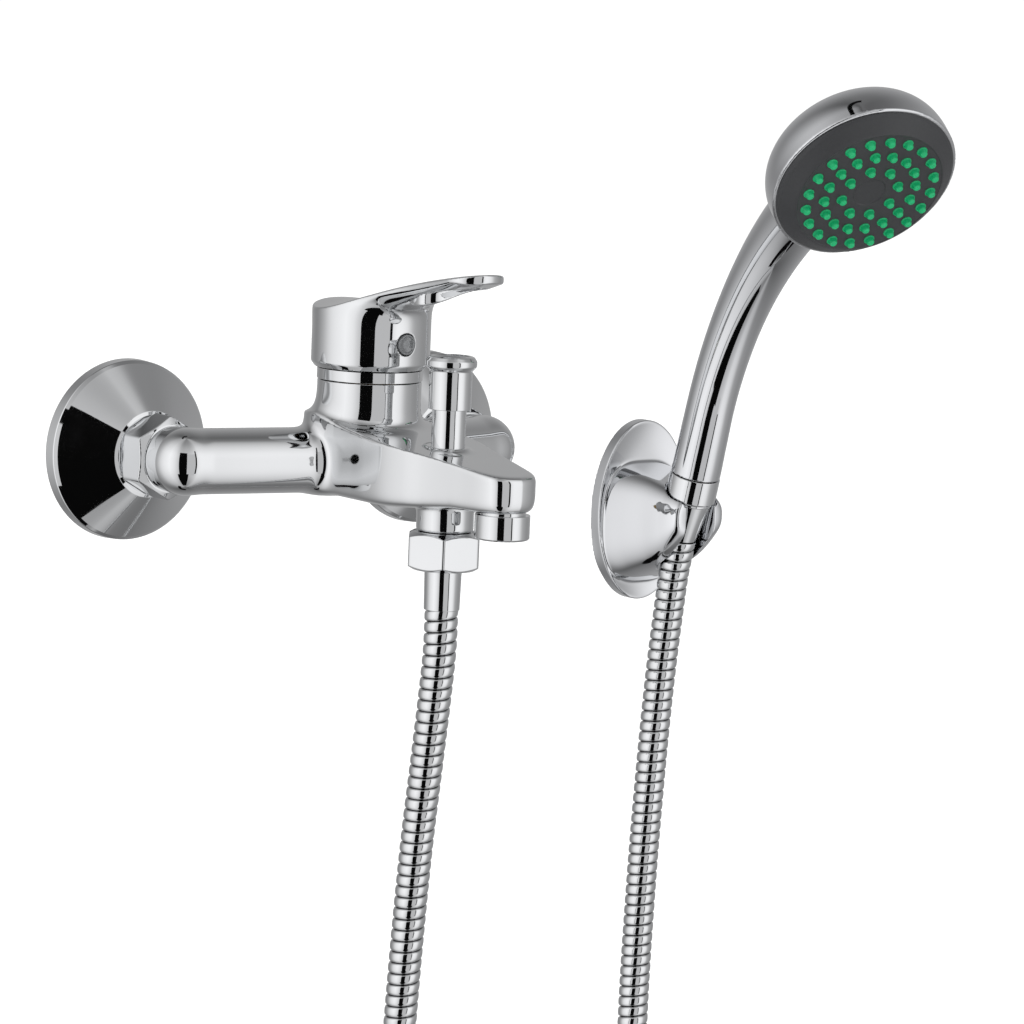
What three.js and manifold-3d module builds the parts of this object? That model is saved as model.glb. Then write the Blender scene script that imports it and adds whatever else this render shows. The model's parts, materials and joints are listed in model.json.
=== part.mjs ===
// Wall mounted bath and shower mixer: a two-inlet body with a single lever, a pull-up diverter,
// a hose and a handset in its wall bracket. Millimetres, +Z up, the wall is the plane Y = 0 and
// the room is on the -Y side. The origin lies on the wall, midway between the two inlets.
import * as THREE from 'three';
import { mergeVertices } from 'three/addons/utils/BufferGeometryUtils.js';
import Module from 'manifold-3d';

const wasm = await Module();
wasm.setup();

// ---- driving dimensions -------------------------------------------------------------------
const GAP = 0.3;              // clearance between touching pieces
const RUN = 0.4;              // clearance of a running fit
const INLET_SPACING = 150;    // centre to centre of the two wall inlets
const BORE_R = 7.5;           // waterway in arms and unions

const WALL_THREAD_R = 10.45;  // G 1/2 male thread into the wall
const WALL_THREAD_L = 14;
const UNION_OFFSET = 6;       // eccentricity of the S-shaped union
const UNION_THREAD_R = 13.1;  // G 3/4 male thread under the union nut
const UNION_END = 30;         // distance from the wall to the union's end face
const NUT_AF = 30;            // across flats of the union nut
const NUT_L = 14.4;
const WASHER_T = 1.6;
const FLANGE_T = 2.2;         // collar of the body's inlet tails, held by the union nuts
const COVER_R = 37;           // wall cover (escutcheon)
const COVER_DEPTH = 21.4;
const COVER_NECK_R = 17.2;
const COVER_WALL = 2.2;
const ARM_R = 13.3;
const ELBOW_Y = 45.5;         // depth of the arm's axis at the inlet
const ARM_ROOT_Y = 62;        // depth of the arm's axis at the body's centre

const HOUSING_Y = 65.6;       // depth of the cartridge axis
const CAP_R = 24.2;           // handle skirt
const HOUSING_R = CAP_R - 3.1;
const HOUSING_TOP = 32.9;
const CAVITY_R = 18.2;        // bore for a 35 mm cartridge
const FLOOR_Z = 8;            // floor of the cartridge bore
const CART_R = 17.3;
const CART_NUT_AF = 30.4;
const DISC_CAVITY_R = 14.6;
const SLIDER_R = 11;
const PIVOT_Z = 30;           // height of the lever's pin
const PIN_R = 1.3;
const STEM_HALF = 3.7;
const FOOT_HALF = 2.4;
const DOME_R = CAP_R - 1.9;   // dome of the trim ring, centred on the lever's pin
const RING_H = 4.4;
const CAP_WALL = 2.2;
const LEVER_TIP_Y = 143.5;
const LEVER_HALF = 12.5;
const PLUG_Z = 49.3;
const PLUG_R = 4.1;

const OUTLET_Y = 119.5;       // depth of the diverter and of the shower outlet
const AERATOR_Y = OUTLET_Y + 36.7;
const SPOUT_TIP_Y = AERATOR_Y + 11.8;
const AERATOR_R = 10.9;
const SPOUT_BOTTOM = -10.5;
const BOSS_R = 11.5;
const BOSS_BOTTOM = -21.9;
const CHAMBER_R = 7;
const SLEEVE_R = 6.8;
const SLEEVE_BASE = 11.4;
const SLEEVE_TOP = 36;
const KNOB_R = 8.5;
const KNOB_RIM_R = 10.2;
const KNOB_BASE = 26.6;
const KNOB_TOP = 47.8;
const STEM_R = 2.2;
const NIPPLE_R = 10.1;        // G 1/2 male thread for the hose
const HOSE_NUT_AF = 28;
const HOSE_NUT_TURN = THREE.MathUtils.degToRad(51.6);
const HOSE_NUT_BOTTOM = -37.4;
const FERRULE_R = 7.5;
const FERRULE_L = 16;
const HOSE_D = 14;

const BRACKET_X = 198.4;
const BRACKET_Z = -37;
const PLATE_HALF_W = 25.4;
const PLATE_HALF_H = 40.1;
const PLATE_T = 6;
const SCREW_PITCH = 44;
const SCREW_R = 2;
const SEAT = [BRACKET_X, -40.8, -14.6];  // where the handset's axis starts, above the holder
const LEAN = THREE.MathUtils.degToRad(14.4);
const TWIST = THREE.MathUtils.degToRad(-12.4);
const BAND_R = 11.1;          // plain band of the conical nut
const BAND_TOP = -2.6;
const BAND_BOTTOM = -13.5;
const CONE_TOP_R = 9.9;
const CONE_BOTTOM_R = 6.4;
const CONE_BOTTOM = -32.5;

const HANDLE_STRAIGHT = 25;   // straight start of the handset's handle
const HANDLE_BEND_R = 165;
const HANDLE_BEND = THREE.MathUtils.degToRad(45);
const HANDLE_BORE_R = 8;
const FACE_S = 82.9;          // centre of the spray face, forward of the cone's axis
const FACE_T = 158.6;         // and above the seat
const FACE_TILT = 0.43;
const HEAD_R = 40;
const HEAD_DEPTH = 30;
const HEAD_RIM = 4;
const HEAD_WALL = 2.4;
const PLATE_R = 38.6;
const FACE_RISE = 6.4;        // how far the spray face stands out of the head's rim
const NOZZLE_RINGS = [[27.8, 20, 0.34], [20, 16, 0.8], [12.2, 8, 0.52]];  // radius, count, first
const NOZZLE_R = 1.9;
const NOZZLE_TIP = 8.8;

// Centre line of the shower hose, from the mixer's ferrule to the conical nut.
const HOSE_ROUTE = [
  [0, -OUTLET_Y, -54.1], [0, 0.2 - OUTLET_Y, -70], [0, 2.3 - OUTLET_Y, -90],
  [0, 5.7 - OUTLET_Y, -116], [0, 10.2 - OUTLET_Y, -150], [0, 14.5 - OUTLET_Y, -195],
  [0.5, 18.5 - OUTLET_Y, -245], [2, 22.5 - OUTLET_Y, -300], [5, -92.5, -355], [8, -88, -410],
  [11.5, -83.5, -464], [17, -79, -515], [27, -76, -549], [45, -72.5, -577], [70, -68.5, -596],
  [100, -64, -603], [130, -59, -596], [155, -54.5, -577], [172, -50.5, -549], [180, -46, -515],
  [183.5, -41, -464], [185.5, -36, -404], [188, -30, -336], [190, -24.5, -268],
  [192, -23.5, -206], [194.5, -23.6, -152], [197, -24.4, -108], [198.3, -26.3, -80],
  [BRACKET_X, -28.9, -61.4], [BRACKET_X, -32.6, -46.6],
];

// ---- materials ----------------------------------------------------------------------------
const finish = (color, roughness, metalness) =>
  new THREE.MeshStandardMaterial({ color, roughness, metalness });
const CHROME = finish(0xd4d7da, 0.08, 1);
const BRASS = finish(0xb9975b, 0.35, 1);
const STEEL = finish(0xb4b7ba, 0.3, 1);
const CERAMIC = finish(0xeeeae2, 0.25, 0);
const WHITE_PLASTIC = finish(0xdcdcd8, 0.5, 0);
const GREY_PLASTIC = finish(0x3c3d40, 0.45, 0);
const GREEN_SILICONE = finish(0x0a9c62, 0.45, 0);
const RUBBER = finish(0x1c1c1d, 0.8, 0);
const FIBRE = finish(0x6d4a36, 0.8, 0);

// ---- geometry helpers ---------------------------------------------------------------------
const QUARTER = Math.PI / 2;
const FINENESS = 0.5;         // share of the full side count that round pieces are cut with
const facets = (sides) => (sides <= 8 ? sides : 2 * Math.round((sides * FINENESS) / 2));

/** Keep positions only, weld them, drop empty triangles and turn the faces outwards. */
function clean(geometry) {
  const bare = new THREE.BufferGeometry();
  bare.setAttribute('position', geometry.getAttribute('position').clone());
  if (geometry.index) bare.setIndex(geometry.index.clone());
  const welded = mergeVertices(bare, 1e-4);
  const p = welded.getAttribute('position');
  const old = welded.index.array;
  const kept = [];
  for (let i = 0; i < old.length; i += 3) {
    const [a, b, c] = [old[i], old[i + 1], old[i + 2]];
    if (a !== b && b !== c && c !== a) kept.push(a, b, c);
  }
  const at = (i) => new THREE.Vector3().fromBufferAttribute(p, i);
  let volume = 0;
  for (let i = 0; i < kept.length; i += 3) {
    volume += at(kept[i]).dot(at(kept[i + 1]).cross(at(kept[i + 2])));
  }
  if (volume < 0) {
    for (let i = 0; i < kept.length; i += 3) [kept[i], kept[i + 1]] = [kept[i + 1], kept[i]];
  }
  welded.setIndex(kept);
  return welded;
}

function solid(geometry) {
  const g = clean(geometry);
  return new wasm.Manifold(new wasm.Mesh({
    numProp: 3,
    vertProperties: new Float32Array(g.getAttribute('position').array),
    triVerts: new Uint32Array(g.index.array),
  }));
}

function toGeometry(manifold) {
  const mesh = manifold.getMesh();
  const g = new THREE.BufferGeometry();
  g.setAttribute('position', new THREE.BufferAttribute(new Float32Array(mesh.vertProperties), 3));
  g.setIndex(new THREE.BufferAttribute(new Uint32Array(mesh.triVerts), 1));
  return g;
}

const union = (geometries) => geometries.map(solid).reduce((a, b) => a.add(b));
const cut = (geometry, tools) =>
  toGeometry(tools.map(solid).reduce((body, tool) => body.subtract(tool), solid(geometry)));

/** Solid of revolution about Z; the profile is a list of [radius, height]. */
function turned(profile, sides = 32) {
  const points = profile.map(([r, z]) => new THREE.Vector2(r, z));
  return clean(new THREE.LatheGeometry(points, facets(sides)).rotateX(QUARTER));
}

/** Ring or sleeve about Z, between two radii and two heights. */
const sleeve = (outer, inner, z0, z1, sides = 32) =>
  turned([[inner, z0], [outer, z0], [outer, z1], [inner, z1], [inner, z0]], sides);

const disc = (r, z0, z1, sides = 32) => turned([[0, z0], [r, z0], [r, z1], [0, z1]], sides);

const box = (x0, x1, y0, y1, z0, z1) =>
  new THREE.BoxGeometry(x1 - x0, y1 - y0, z1 - z0)
    .translate((x0 + x1) / 2, (y0 + y1) / 2, (z0 + z1) / 2);

/** Round bar between two points. */
function bar(from, to, r, sides = 28) {
  const a = new THREE.Vector3(...from);
  const along = new THREE.Vector3(...to).sub(a);
  const g = new THREE.CylinderGeometry(r, r, along.length(), facets(sides));
  g.applyQuaternion(new THREE.Quaternion()
    .setFromUnitVectors(new THREE.Vector3(0, 1, 0), along.clone().normalize()));
  const middle = a.addScaledVector(along, 0.5);
  return g.translate(middle.x, middle.y, middle.z);
}

/** Hexagonal prism about Z with its corners chamfered at both ends. */
function hexagon(acrossFlats, z0, z1, chamfer) {
  const corner = acrossFlats / Math.sqrt(3);
  const prism = disc(corner, z0, z1, 6);
  const flat = acrossFlats / 2;
  const barrel = turned([[0, z0], [flat, z0], [corner, z0 + chamfer], [corner, z1 - chamfer],
    [flat, z1], [0, z1]], 36);
  return toGeometry(solid(prism).intersect(solid(barrel)));
}

/** Closed skin through rings of equal point count, with a flat fan over each end. */
function loft(rings) {
  const n = rings[0].length;
  const position = rings.flat(2);
  const middle = (ring) => [0, 1, 2].map((k) => ring.reduce((s, q) => s + q[k], 0) / n);
  position.push(...middle(rings[0]), ...middle(rings.at(-1)));
  const index = [];
  const first = rings.length * n;
  for (let i = 0; i < rings.length - 1; i += 1) {
    for (let j = 0; j < n; j += 1) {
      const [a, b] = [i * n + j, i * n + ((j + 1) % n)];
      index.push(a, b, b + n, a, b + n, a + n);
    }
  }
  for (let j = 0; j < n; j += 1) {
    const k = (j + 1) % n;
    index.push(first, k, j, first + 1, first - n + j, first - n + k);
  }
  const g = new THREE.BufferGeometry();
  g.setAttribute('position', new THREE.BufferAttribute(new Float32Array(position), 3));
  g.setIndex(index);
  return clean(g);
}

/** Tube along a smooth curve through points. */
function tube(points, r, sides, steps) {
  const curve = new THREE.CatmullRomCurve3(points.map((p) => new THREE.Vector3(...p)));
  const section = new THREE.Shape();
  for (let i = 0; i < sides; i += 1) {
    const a = (i / sides) * 2 * Math.PI;
    section[i ? 'lineTo' : 'moveTo'](r * Math.cos(a), r * Math.sin(a));
  }
  section.closePath();
  return clean(new THREE.ExtrudeGeometry(section, { steps, extrudePath: curve }));
}

function place(parent, name, geometry, material) {
  const mesh = new THREE.Mesh(geometry, material);
  mesh.name = name;
  parent.add(mesh);
  return mesh;
}

function group(parent, x, y, z) {
  const g = new THREE.Group();
  g.position.set(x, y, z);
  parent.add(g);
  return g;
}

// ---- mixer body ---------------------------------------------------------------------------
/** Spout section at a depth: a rounded rectangle of half width w between two heights. */
function spoutRing([y, w, top, bottom]) {
  const ring = [];
  const power = 2 / 3.6;
  const points = 20;
  for (let i = 0; i < points; i += 1) {
    const a = (i / points) * 2 * Math.PI;
    const [c, s] = [Math.cos(a), Math.sin(a)];
    const z = (top + bottom) / 2 + ((top - bottom) / 2) * Math.sign(s) * Math.abs(s) ** power;
    ring.push([w * Math.sign(c) * Math.abs(c) ** power, -y, z]);
  }
  return ring;
}

function arm(side, r, start) {
  const x = (side * INLET_SPACING) / 2;
  const corner = [x, -ELBOW_Y, 0];
  return [bar([x, -start, 0], corner, r), new THREE.SphereGeometry(r, facets(28), 8)
    .translate(...corner), bar(corner, [0, -ARM_ROOT_Y, 0], r)];
}

function mixerBody() {
  const tail = UNION_END + GAP + WASHER_T + GAP;
  const nutEnd = COVER_DEPTH + GAP + NUT_L;
  const onInlet = (side, from, to, r) => {
    const x = (side * INLET_SPACING) / 2;
    return bar([x, -from, 0], [x, -to, 0], r);
  };
  const flange = (side) => [onInlet(side, tail, tail + FLANGE_T, UNION_THREAD_R - 0.5),
    onInlet(side, tail, ELBOW_Y, UNION_THREAD_R - 2.7)];
  const housing = turned([[0, -ARM_R], [18, -ARM_R], [24, -8], [25.5, 0], [25, 10],
    [22.6, 20], [HOUSING_R, 28], [HOUSING_R, HOUSING_TOP], [0, HOUSING_TOP]], 40)
    .translate(0, -HOUSING_Y, 0);
  const spout = loft([[60, 22, 12, -ARM_R], [90, 23.4, 13.4, -ARM_R], [105, 22, 11.2, -13],
    [OUTLET_Y, 18.6, 9.8, -12.4], [140, 14.8, 8, SPOUT_BOTTOM], [158, 12.4, 6, SPOUT_BOTTOM],
    [SPOUT_TIP_Y - 1.2, 11.8, 4.8, SPOUT_BOTTOM], [SPOUT_TIP_Y, 10.6, 3.6, SPOUT_BOTTOM + 1]]
    .map(spoutRing));
  const onOutlet = (g) => g.translate(0, -OUTLET_Y, 0);
  const boss = onOutlet(turned([[0, -8], [BOSS_R + 1, -8], [BOSS_R, -13],
    [BOSS_R, BOSS_BOTTOM + 1], [BOSS_R - 1, BOSS_BOTTOM], [0, BOSS_BOTTOM]]));
  const bonnetSeat = onOutlet(turned([[0, 6], [10, 6], [7.6, SLEEVE_BASE - GAP],
    [0, SLEEVE_BASE - GAP]]));
  const elbows = union([...arm(-1, ARM_R, nutEnd), ...arm(1, ARM_R, nutEnd)])
    .subtract(solid(onInlet(-1, 0, nutEnd + GAP, ARM_R + 5)))
    .subtract(solid(onInlet(1, 0, nutEnd + GAP, ARM_R + 5)));
  let body = union([...flange(-1), ...flange(1), housing, spout, boss, bonnetSeat]).add(elbows);
  const inletHole = (x) => bar([x, -ARM_ROOT_Y, 0], [x, -ARM_ROOT_Y, FLOOR_Z + 1], 3.2, 16);
  const water = [...arm(-1, BORE_R, tail - 1), ...arm(1, BORE_R, tail - 1)]
    .map(solid).reduce((a, b) => a.add(b))
    .subtract(solid(box(-5.5, 5.5, -ARM_ROOT_Y - 20, -ARM_ROOT_Y + 20, -20, 20)));
  body = body.subtract(water);
  const tools = [
    disc(CAVITY_R, FLOOR_Z, HOUSING_TOP + 1, 40).translate(0, -HOUSING_Y, 0),
    inletHole(-8.5), inletHole(8.5),
    bar([0, -HOUSING_Y - 9, -1], [0, -HOUSING_Y - 9, FLOOR_Z + 1], 3.6, 16),
    bar([0, -HOUSING_Y - 9, -1], [0, -OUTLET_Y, -1], 3.6, 16),
    onOutlet(disc(CHAMBER_R, -13, 4)),
    onOutlet(disc(SLEEVE_R - 1, 3, SLEEVE_BASE + 1)),
    onOutlet(disc(5, -16, -12)),
    onOutlet(disc(8.6, BOSS_BOTTOM - 1, -13.4)),
    bar([0, -OUTLET_Y, -1], [0, -AERATOR_Y, -1], 3.6, 16),
    disc(9.4, SPOUT_BOTTOM - 2, -1.8).translate(0, -AERATOR_Y, 0),
  ];
  return toGeometry(tools.map(solid).reduce((a, b) => a.subtract(b), body));
}

// ---- wall connections ---------------------------------------------------------------------
function wallCover() {
  return turned([[COVER_R, 0], [COVER_R - 0.7, 5.4], [COVER_R - 1.8, 6], [COVER_NECK_R, COVER_DEPTH],
    [UNION_THREAD_R + RUN, COVER_DEPTH], [UNION_THREAD_R + RUN, COVER_DEPTH - COVER_WALL],
    [COVER_NECK_R - 1.6, COVER_DEPTH - COVER_WALL], [COVER_R - 4.4, 4.4], [COVER_R - 3, 0],
    [COVER_R, 0]], 48);
}

function sUnion() {
  const wallEnd = disc(WALL_THREAD_R, -WALL_THREAD_L, 5, 28).translate(0, -UNION_OFFSET, 0);
  const middle = disc(UNION_THREAD_R + 1.5, 3, 10, 28).translate(0, -UNION_OFFSET / 2, 0);
  const roomEnd = disc(UNION_THREAD_R, 8, UNION_END, 28);
  const bores = [disc(BORE_R, -WALL_THREAD_L - 1, 6.6, 20).translate(0, -UNION_OFFSET, 0),
    disc(BORE_R, 6.2, UNION_END + 1, 20)];
  return toGeometry(bores.map(solid).reduce((a, b) => a.subtract(b),
    union([wallEnd, middle, roomEnd])));
}

function unionNut() {
  const start = COVER_DEPTH + GAP;
  const end = start + NUT_L;
  const lip = UNION_END + GAP + WASHER_T + GAP + FLANGE_T + GAP;
  return cut(hexagon(NUT_AF, start, end, 1.4), [
    disc(UNION_THREAD_R + GAP, start - 1, lip), disc(UNION_THREAD_R - 2.4, lip - 1, end + 1)]);
}

function inlet(root, side, label) {
  const g = group(root, (side * INLET_SPACING) / 2, 0, 0);
  g.rotation.x = QUARTER;
  place(g, `escutcheon_${label}`, wallCover(), CHROME);
  place(g, `s_union_${label}`, sUnion(), BRASS);
  place(g, `union_nut_${label}`, unionNut(), CHROME);
  const washer = sleeve(UNION_THREAD_R - 0.6, BORE_R, UNION_END + GAP, UNION_END + GAP + WASHER_T);
  place(g, `union_washer_${label}`, washer, FIBRE);
}

// ---- cartridge and handle -----------------------------------------------------------------
const GASKET_TOP = FLOOR_Z + GAP + 1.4;
const BASE_Z = GASKET_TOP + GAP;
const FIXED_Z = BASE_Z + 2.6 + GAP;
const MOVING_Z = FIXED_Z + 2.7 + GAP;
const CARRIER_Z = MOVING_Z + 2.7 + GAP;
const ROTOR_Z = CARRIER_Z + 3.3 + GAP;
const SHOULDER_Z = 28;

/** Disc with the three waterways of the cartridge: two inlets and one outlet. */
const ported = (r, z0, z1) => cut(disc(r, z0, z1), [
  ...[-8.5, 8.5].map((x) => disc(2.8, z0 - 1, z1 + 1, 14).translate(x, HOUSING_Y - ARM_ROOT_Y, 0)),
  disc(3.2, z0 - 1, z1 + 1, 14).translate(0, -9, 0)]);

function cartridgeBody() {
  return turned([[DISC_CAVITY_R, BASE_Z], [CART_R, BASE_Z], [CART_R, SHOULDER_Z],
    [12.2, SHOULDER_Z], [12.2, 35], [9.2, 35], [9.2, SHOULDER_Z - 2], [DISC_CAVITY_R, SHOULDER_Z - 2],
    [DISC_CAVITY_R, BASE_Z]], 36);
}

function rotor() {
  const base = disc(DISC_CAVITY_R - RUN, ROTOR_Z, SHOULDER_Z - 2 - GAP);
  const neck = disc(8.7, ROTOR_Z + 1, 34);
  const slot = STEM_HALF + RUN;
  return toGeometry(union([base, neck])
    .subtract(solid(box(-slot, slot, -12, 12, SHOULDER_Z - 3, 36)))
    .subtract(solid(box(-slot, slot, -6.5, 6.5, ROTOR_Z - 1, SHOULDER_Z)))
    .subtract(solid(bar([-10, 0, PIVOT_Z], [10, 0, PIVOT_Z], PIN_R + GAP, 16))));
}

function leverStem() {
  const shaft = box(-STEM_HALF, STEM_HALF, -STEM_HALF, STEM_HALF, PIVOT_Z - 3.4, 56);
  const foot = box(-FOOT_HALF, FOOT_HALF, -FOOT_HALF, FOOT_HALF, CARRIER_Z + 0.8, PIVOT_Z);
  return toGeometry(union([shaft, foot])
    .subtract(solid(bar([-10, 0, PIVOT_Z], [10, 0, PIVOT_Z], PIN_R + GAP, 16))));
}

function trimRing() {
  const base = HOUSING_TOP + GAP;
  const arc = (r, from, to, n) => Array.from({ length: n + 1 }, (_, i) => {
    const z = from + ((to - from) * i) / n;
    return [Math.sqrt(r * r - (z - PIVOT_Z) ** 2), z];
  });
  const shell = 1.8;
  return turned([[HOUSING_R + 0.2, base], [HOUSING_R + 0.2, base + RING_H],
    ...arc(DOME_R, base + RING_H + 0.5, 45, 3),
    ...arc(DOME_R - shell, 44.4, base + 1.2, 3), [CAVITY_R + 0.5, base], [HOUSING_R + 0.2, base]], 40);
}

/** Lever seen from the side: [depth from the wall, height], rear of the cap to the tip and back. */
function handle() {
  const skirtZ = HOUSING_TOP + GAP + RING_H + RUN;
  const front = HOUSING_Y + CAP_R;
  const side = new THREE.Shape();
  side.moveTo(HOUSING_Y - CAP_R, skirtZ);
  side.lineTo(HOUSING_Y - CAP_R, 62.3);
  side.bezierCurveTo(58, 63.2, 70, 66.5, 86, 71);
  side.bezierCurveTo(104, 76, 122, 80.4, LEVER_TIP_Y - 3, 81.6);
  side.lineTo(LEVER_TIP_Y, 80.2);
  side.lineTo(LEVER_TIP_Y - 2, 77.6);
  side.bezierCurveTo(124, 74.4, 108, 69, front + 6, 64);
  side.quadraticCurveTo(front, 61, front, 55);
  side.lineTo(front, skirtZ);
  side.closePath();
  // The side view lies in a plane of depth and height: turn it so that its depth runs along -Y.
  const slab = new THREE.ExtrudeGeometry(side, { depth: 60, bevelEnabled: false, curveSegments: 8 })
    .rotateX(QUARTER).rotateZ(-QUARTER).translate(30, 0, 0);
  const plan = new THREE.Shape();
  const tip = LEVER_TIP_Y - LEVER_HALF;
  plan.absarc(0, -HOUSING_Y, CAP_R, Math.PI * 0.02, Math.PI * 0.98, false);
  plan.bezierCurveTo(-CAP_R + 1, -HOUSING_Y - 22, -LEVER_HALF - 2, -100, -LEVER_HALF, -tip);
  plan.absarc(0, -tip, LEVER_HALF, Math.PI, 2 * Math.PI, false);
  plan.bezierCurveTo(LEVER_HALF + 2, -100, CAP_R - 1, -HOUSING_Y - 22, CAP_R, -HOUSING_Y);
  const prism = new THREE.ExtrudeGeometry(plan, { depth: 60, bevelEnabled: false, curveSegments: 14 })
    .translate(0, 0, 30);
  const skirt = disc(CAP_R, skirtZ, 60, 48).translate(0, -HOUSING_Y, 0);
  const bladeOnly = box(-40, 40, -LEVER_TIP_Y - 5, -HOUSING_Y + CAP_R + 1, 60, 90);
  const outer = solid(slab).intersect(solid(prism))
    .intersect(solid(bladeOnly).add(solid(skirt)));
  const onAxis = (g) => g.translate(0, -HOUSING_Y, 0);
  const chamfer = onAxis(turned([[CAP_R + 2, skirtZ - 1], [CAP_R + 2, skirtZ + 2.6],
    [CAP_R, skirtZ + 2.6], [CAP_R - 1.6, skirtZ], [CAP_R - 1.6, skirtZ - 1],
    [CAP_R + 2, skirtZ - 1]], 48));
  const ceiling = PIVOT_Z + DOME_R + 0.7;
  const well = solid(onAxis(disc(CAP_R - CAP_WALL, skirtZ - 1, ceiling, 40)))
    .subtract(solid(onAxis(disc(7.4, 46.5, ceiling + 1, 28))));
  const fit = STEM_HALF + GAP;
  return toGeometry(outer.subtract(solid(chamfer)).subtract(well)
    .subtract(solid(onAxis(box(-fit, fit, -fit, fit, 40, 56.4))))
    .subtract(solid(bar([0, -front - 2, PLUG_Z], [0, -front + 3.2, PLUG_Z], PLUG_R + GAP, 24)))
    .subtract(solid(bar([0, -front - 2, PLUG_Z], [0, -HOUSING_Y - 1, PLUG_Z], 2.3, 16))));
}

function cartridge(root) {
  const g = group(root, 0, -HOUSING_Y, 0);
  place(g, 'cartridge_gasket', ported(13.4, FLOOR_Z + GAP, GASKET_TOP), RUBBER);
  place(g, 'cartridge_base', ported(DISC_CAVITY_R - GAP, BASE_Z, BASE_Z + 2.6), WHITE_PLASTIC);
  place(g, 'fixed_disc', ported(DISC_CAVITY_R - 0.6, FIXED_Z, FIXED_Z + 2.7), CERAMIC);
  const hollow = turned([[0, MOVING_Z - 1], [6.4, MOVING_Z - 1], [6.4, MOVING_Z + 1.5],
    [0, MOVING_Z + 1.5]], 24);
  place(g, 'moving_disc', cut(disc(SLIDER_R, MOVING_Z, MOVING_Z + 2.7), [hollow]), CERAMIC);
  const pocket = FOOT_HALF + 1;
  place(g, 'disc_carrier', cut(disc(SLIDER_R, CARRIER_Z, CARRIER_Z + 3.3),
    [box(-pocket, pocket, -pocket, pocket, CARRIER_Z + 0.5, CARRIER_Z + 5)]), WHITE_PLASTIC);
  place(g, 'cartridge_rotor', rotor(), WHITE_PLASTIC);
  place(g, 'rotor_pin', bar([-8, 0, PIVOT_Z], [8, 0, PIVOT_Z], PIN_R, 14), STEEL);
  place(g, 'cartridge_stem', leverStem(), BRASS);
  place(g, 'cartridge_body', cartridgeBody(), WHITE_PLASTIC);
  place(g, 'cartridge_nut', cut(hexagon(CART_NUT_AF, SHOULDER_Z + GAP, 35.4, 0.8),
    [disc(12.2 + GAP, SHOULDER_Z - 1, 40)]), BRASS);
  place(g, 'trim_ring', trimRing(), CHROME);
  place(root, 'handle', handle(), CHROME);
  const front = HOUSING_Y + CAP_R;
  place(root, 'handle_screw', bar([0, -front + 6, PLUG_Z],
    [0, -HOUSING_Y - STEM_HALF - GAP, PLUG_Z], 2, 12), STEEL);
  const plug = union([bar([0, -front + 0.6, PLUG_Z], [0, -front + 3, PLUG_Z], PLUG_R, 24),
    bar([0, -front + 1, PLUG_Z], [0, -front + 5, PLUG_Z], 1.8, 12)]);
  place(root, 'index_plug', toGeometry(plug), GREY_PLASTIC);
}

// ---- diverter, aerator and shower outlet --------------------------------------------------
const SPRING_TOP = 2.6;
const SPRING_R = 4.6;
const SPRING_WIRE = 0.6;
const VALVE_Z = -12.7;
const VALVE_T = 3;

function spring() {
  const turns = 3.5;
  const z0 = VALVE_Z + VALVE_T + 1.2;
  const z1 = SPRING_TOP - 0.8;
  const points = Array.from({ length: turns * 8 + 1 }, (_, i) => {
    const a = (i / 8) * 2 * Math.PI;
    return [SPRING_R * Math.cos(a), SPRING_R * Math.sin(a), z0 + ((z1 - z0) * i) / (turns * 8)];
  });
  return tube(points, SPRING_WIRE / 2, 4, turns * 8);
}

function diverter(root) {
  const g = group(root, 0, -OUTLET_Y, 0);
  place(g, 'diverter_sleeve', turned([[STEM_R + RUN, 4.3], [SLEEVE_R - 1 - GAP, 4.3],
    [SLEEVE_R - 1 - GAP, SLEEVE_BASE], [SLEEVE_R, SLEEVE_BASE], [SLEEVE_R, SLEEVE_TOP],
    [STEM_R + RUN, SLEEVE_TOP], [STEM_R + RUN, 4.3]], 28), CHROME);
  const knobFloor = SLEEVE_TOP + 3;
  const knob = turned([[0, knobFloor], [SLEEVE_R + RUN, knobFloor], [SLEEVE_R + RUN, KNOB_BASE],
    [KNOB_R, KNOB_BASE], [KNOB_R, 42.4], [KNOB_RIM_R - 0.6, 43.6], [KNOB_RIM_R, 45.2],
    [KNOB_RIM_R - 0.8, KNOB_TOP - 0.6], [KNOB_RIM_R - 2.2, KNOB_TOP], [0, KNOB_TOP - 0.8]], 36);
  place(g, 'diverter_knob', cut(knob, [disc(STEM_R + GAP, knobFloor - 1, knobFloor + 4.3, 20)]), CHROME);
  place(g, 'diverter_stem', turned([[0, VALVE_Z - 1.2], [STEM_R, VALVE_Z - 1.2],
    [STEM_R, knobFloor + 4], [0, knobFloor + 4]], 20), BRASS);
  place(g, 'diverter_valve', sleeve(CHAMBER_R - 0.5, STEM_R + GAP, VALVE_Z, VALVE_Z + VALVE_T, 28), BRASS);
  place(g, 'diverter_seal', sleeve(3.9, STEM_R + GAP, VALVE_Z + VALVE_T + GAP,
    VALVE_Z + VALVE_T + 1.9, 20), RUBBER);
  place(g, 'diverter_spring', spring(), STEEL);
}

function aerator(root) {
  const g = group(root, 0, -AERATOR_Y, 0);
  const step = SPOUT_BOTTOM - GAP;
  place(g, 'aerator_housing', turned([[7.6, -20.5], [AERATOR_R - 0.8, -20.5], [AERATOR_R, -19.6],
    [AERATOR_R, step], [9.1, step], [9.1, -4.4], [7.9, -4.4], [7.9, -18.2], [7.6, -18.6],
    [7.6, -20.5]], 36), CHROME);
  const insert = disc(7.5, -18, -6, 28);
  const holes = Array.from({ length: 8 }, (_, i) => {
    const a = (i / 8) * 2 * Math.PI;
    return disc(1.1, -20, -5, 6).translate(4.8 * Math.cos(a), 4.8 * Math.sin(a), 0);
  });
  place(g, 'aerator_insert', cut(insert, holes), WHITE_PLASTIC);
  place(g, 'aerator_washer', sleeve(8.9, 5.6, -4.1, -2.3, 28), RUBBER);
}

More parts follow.
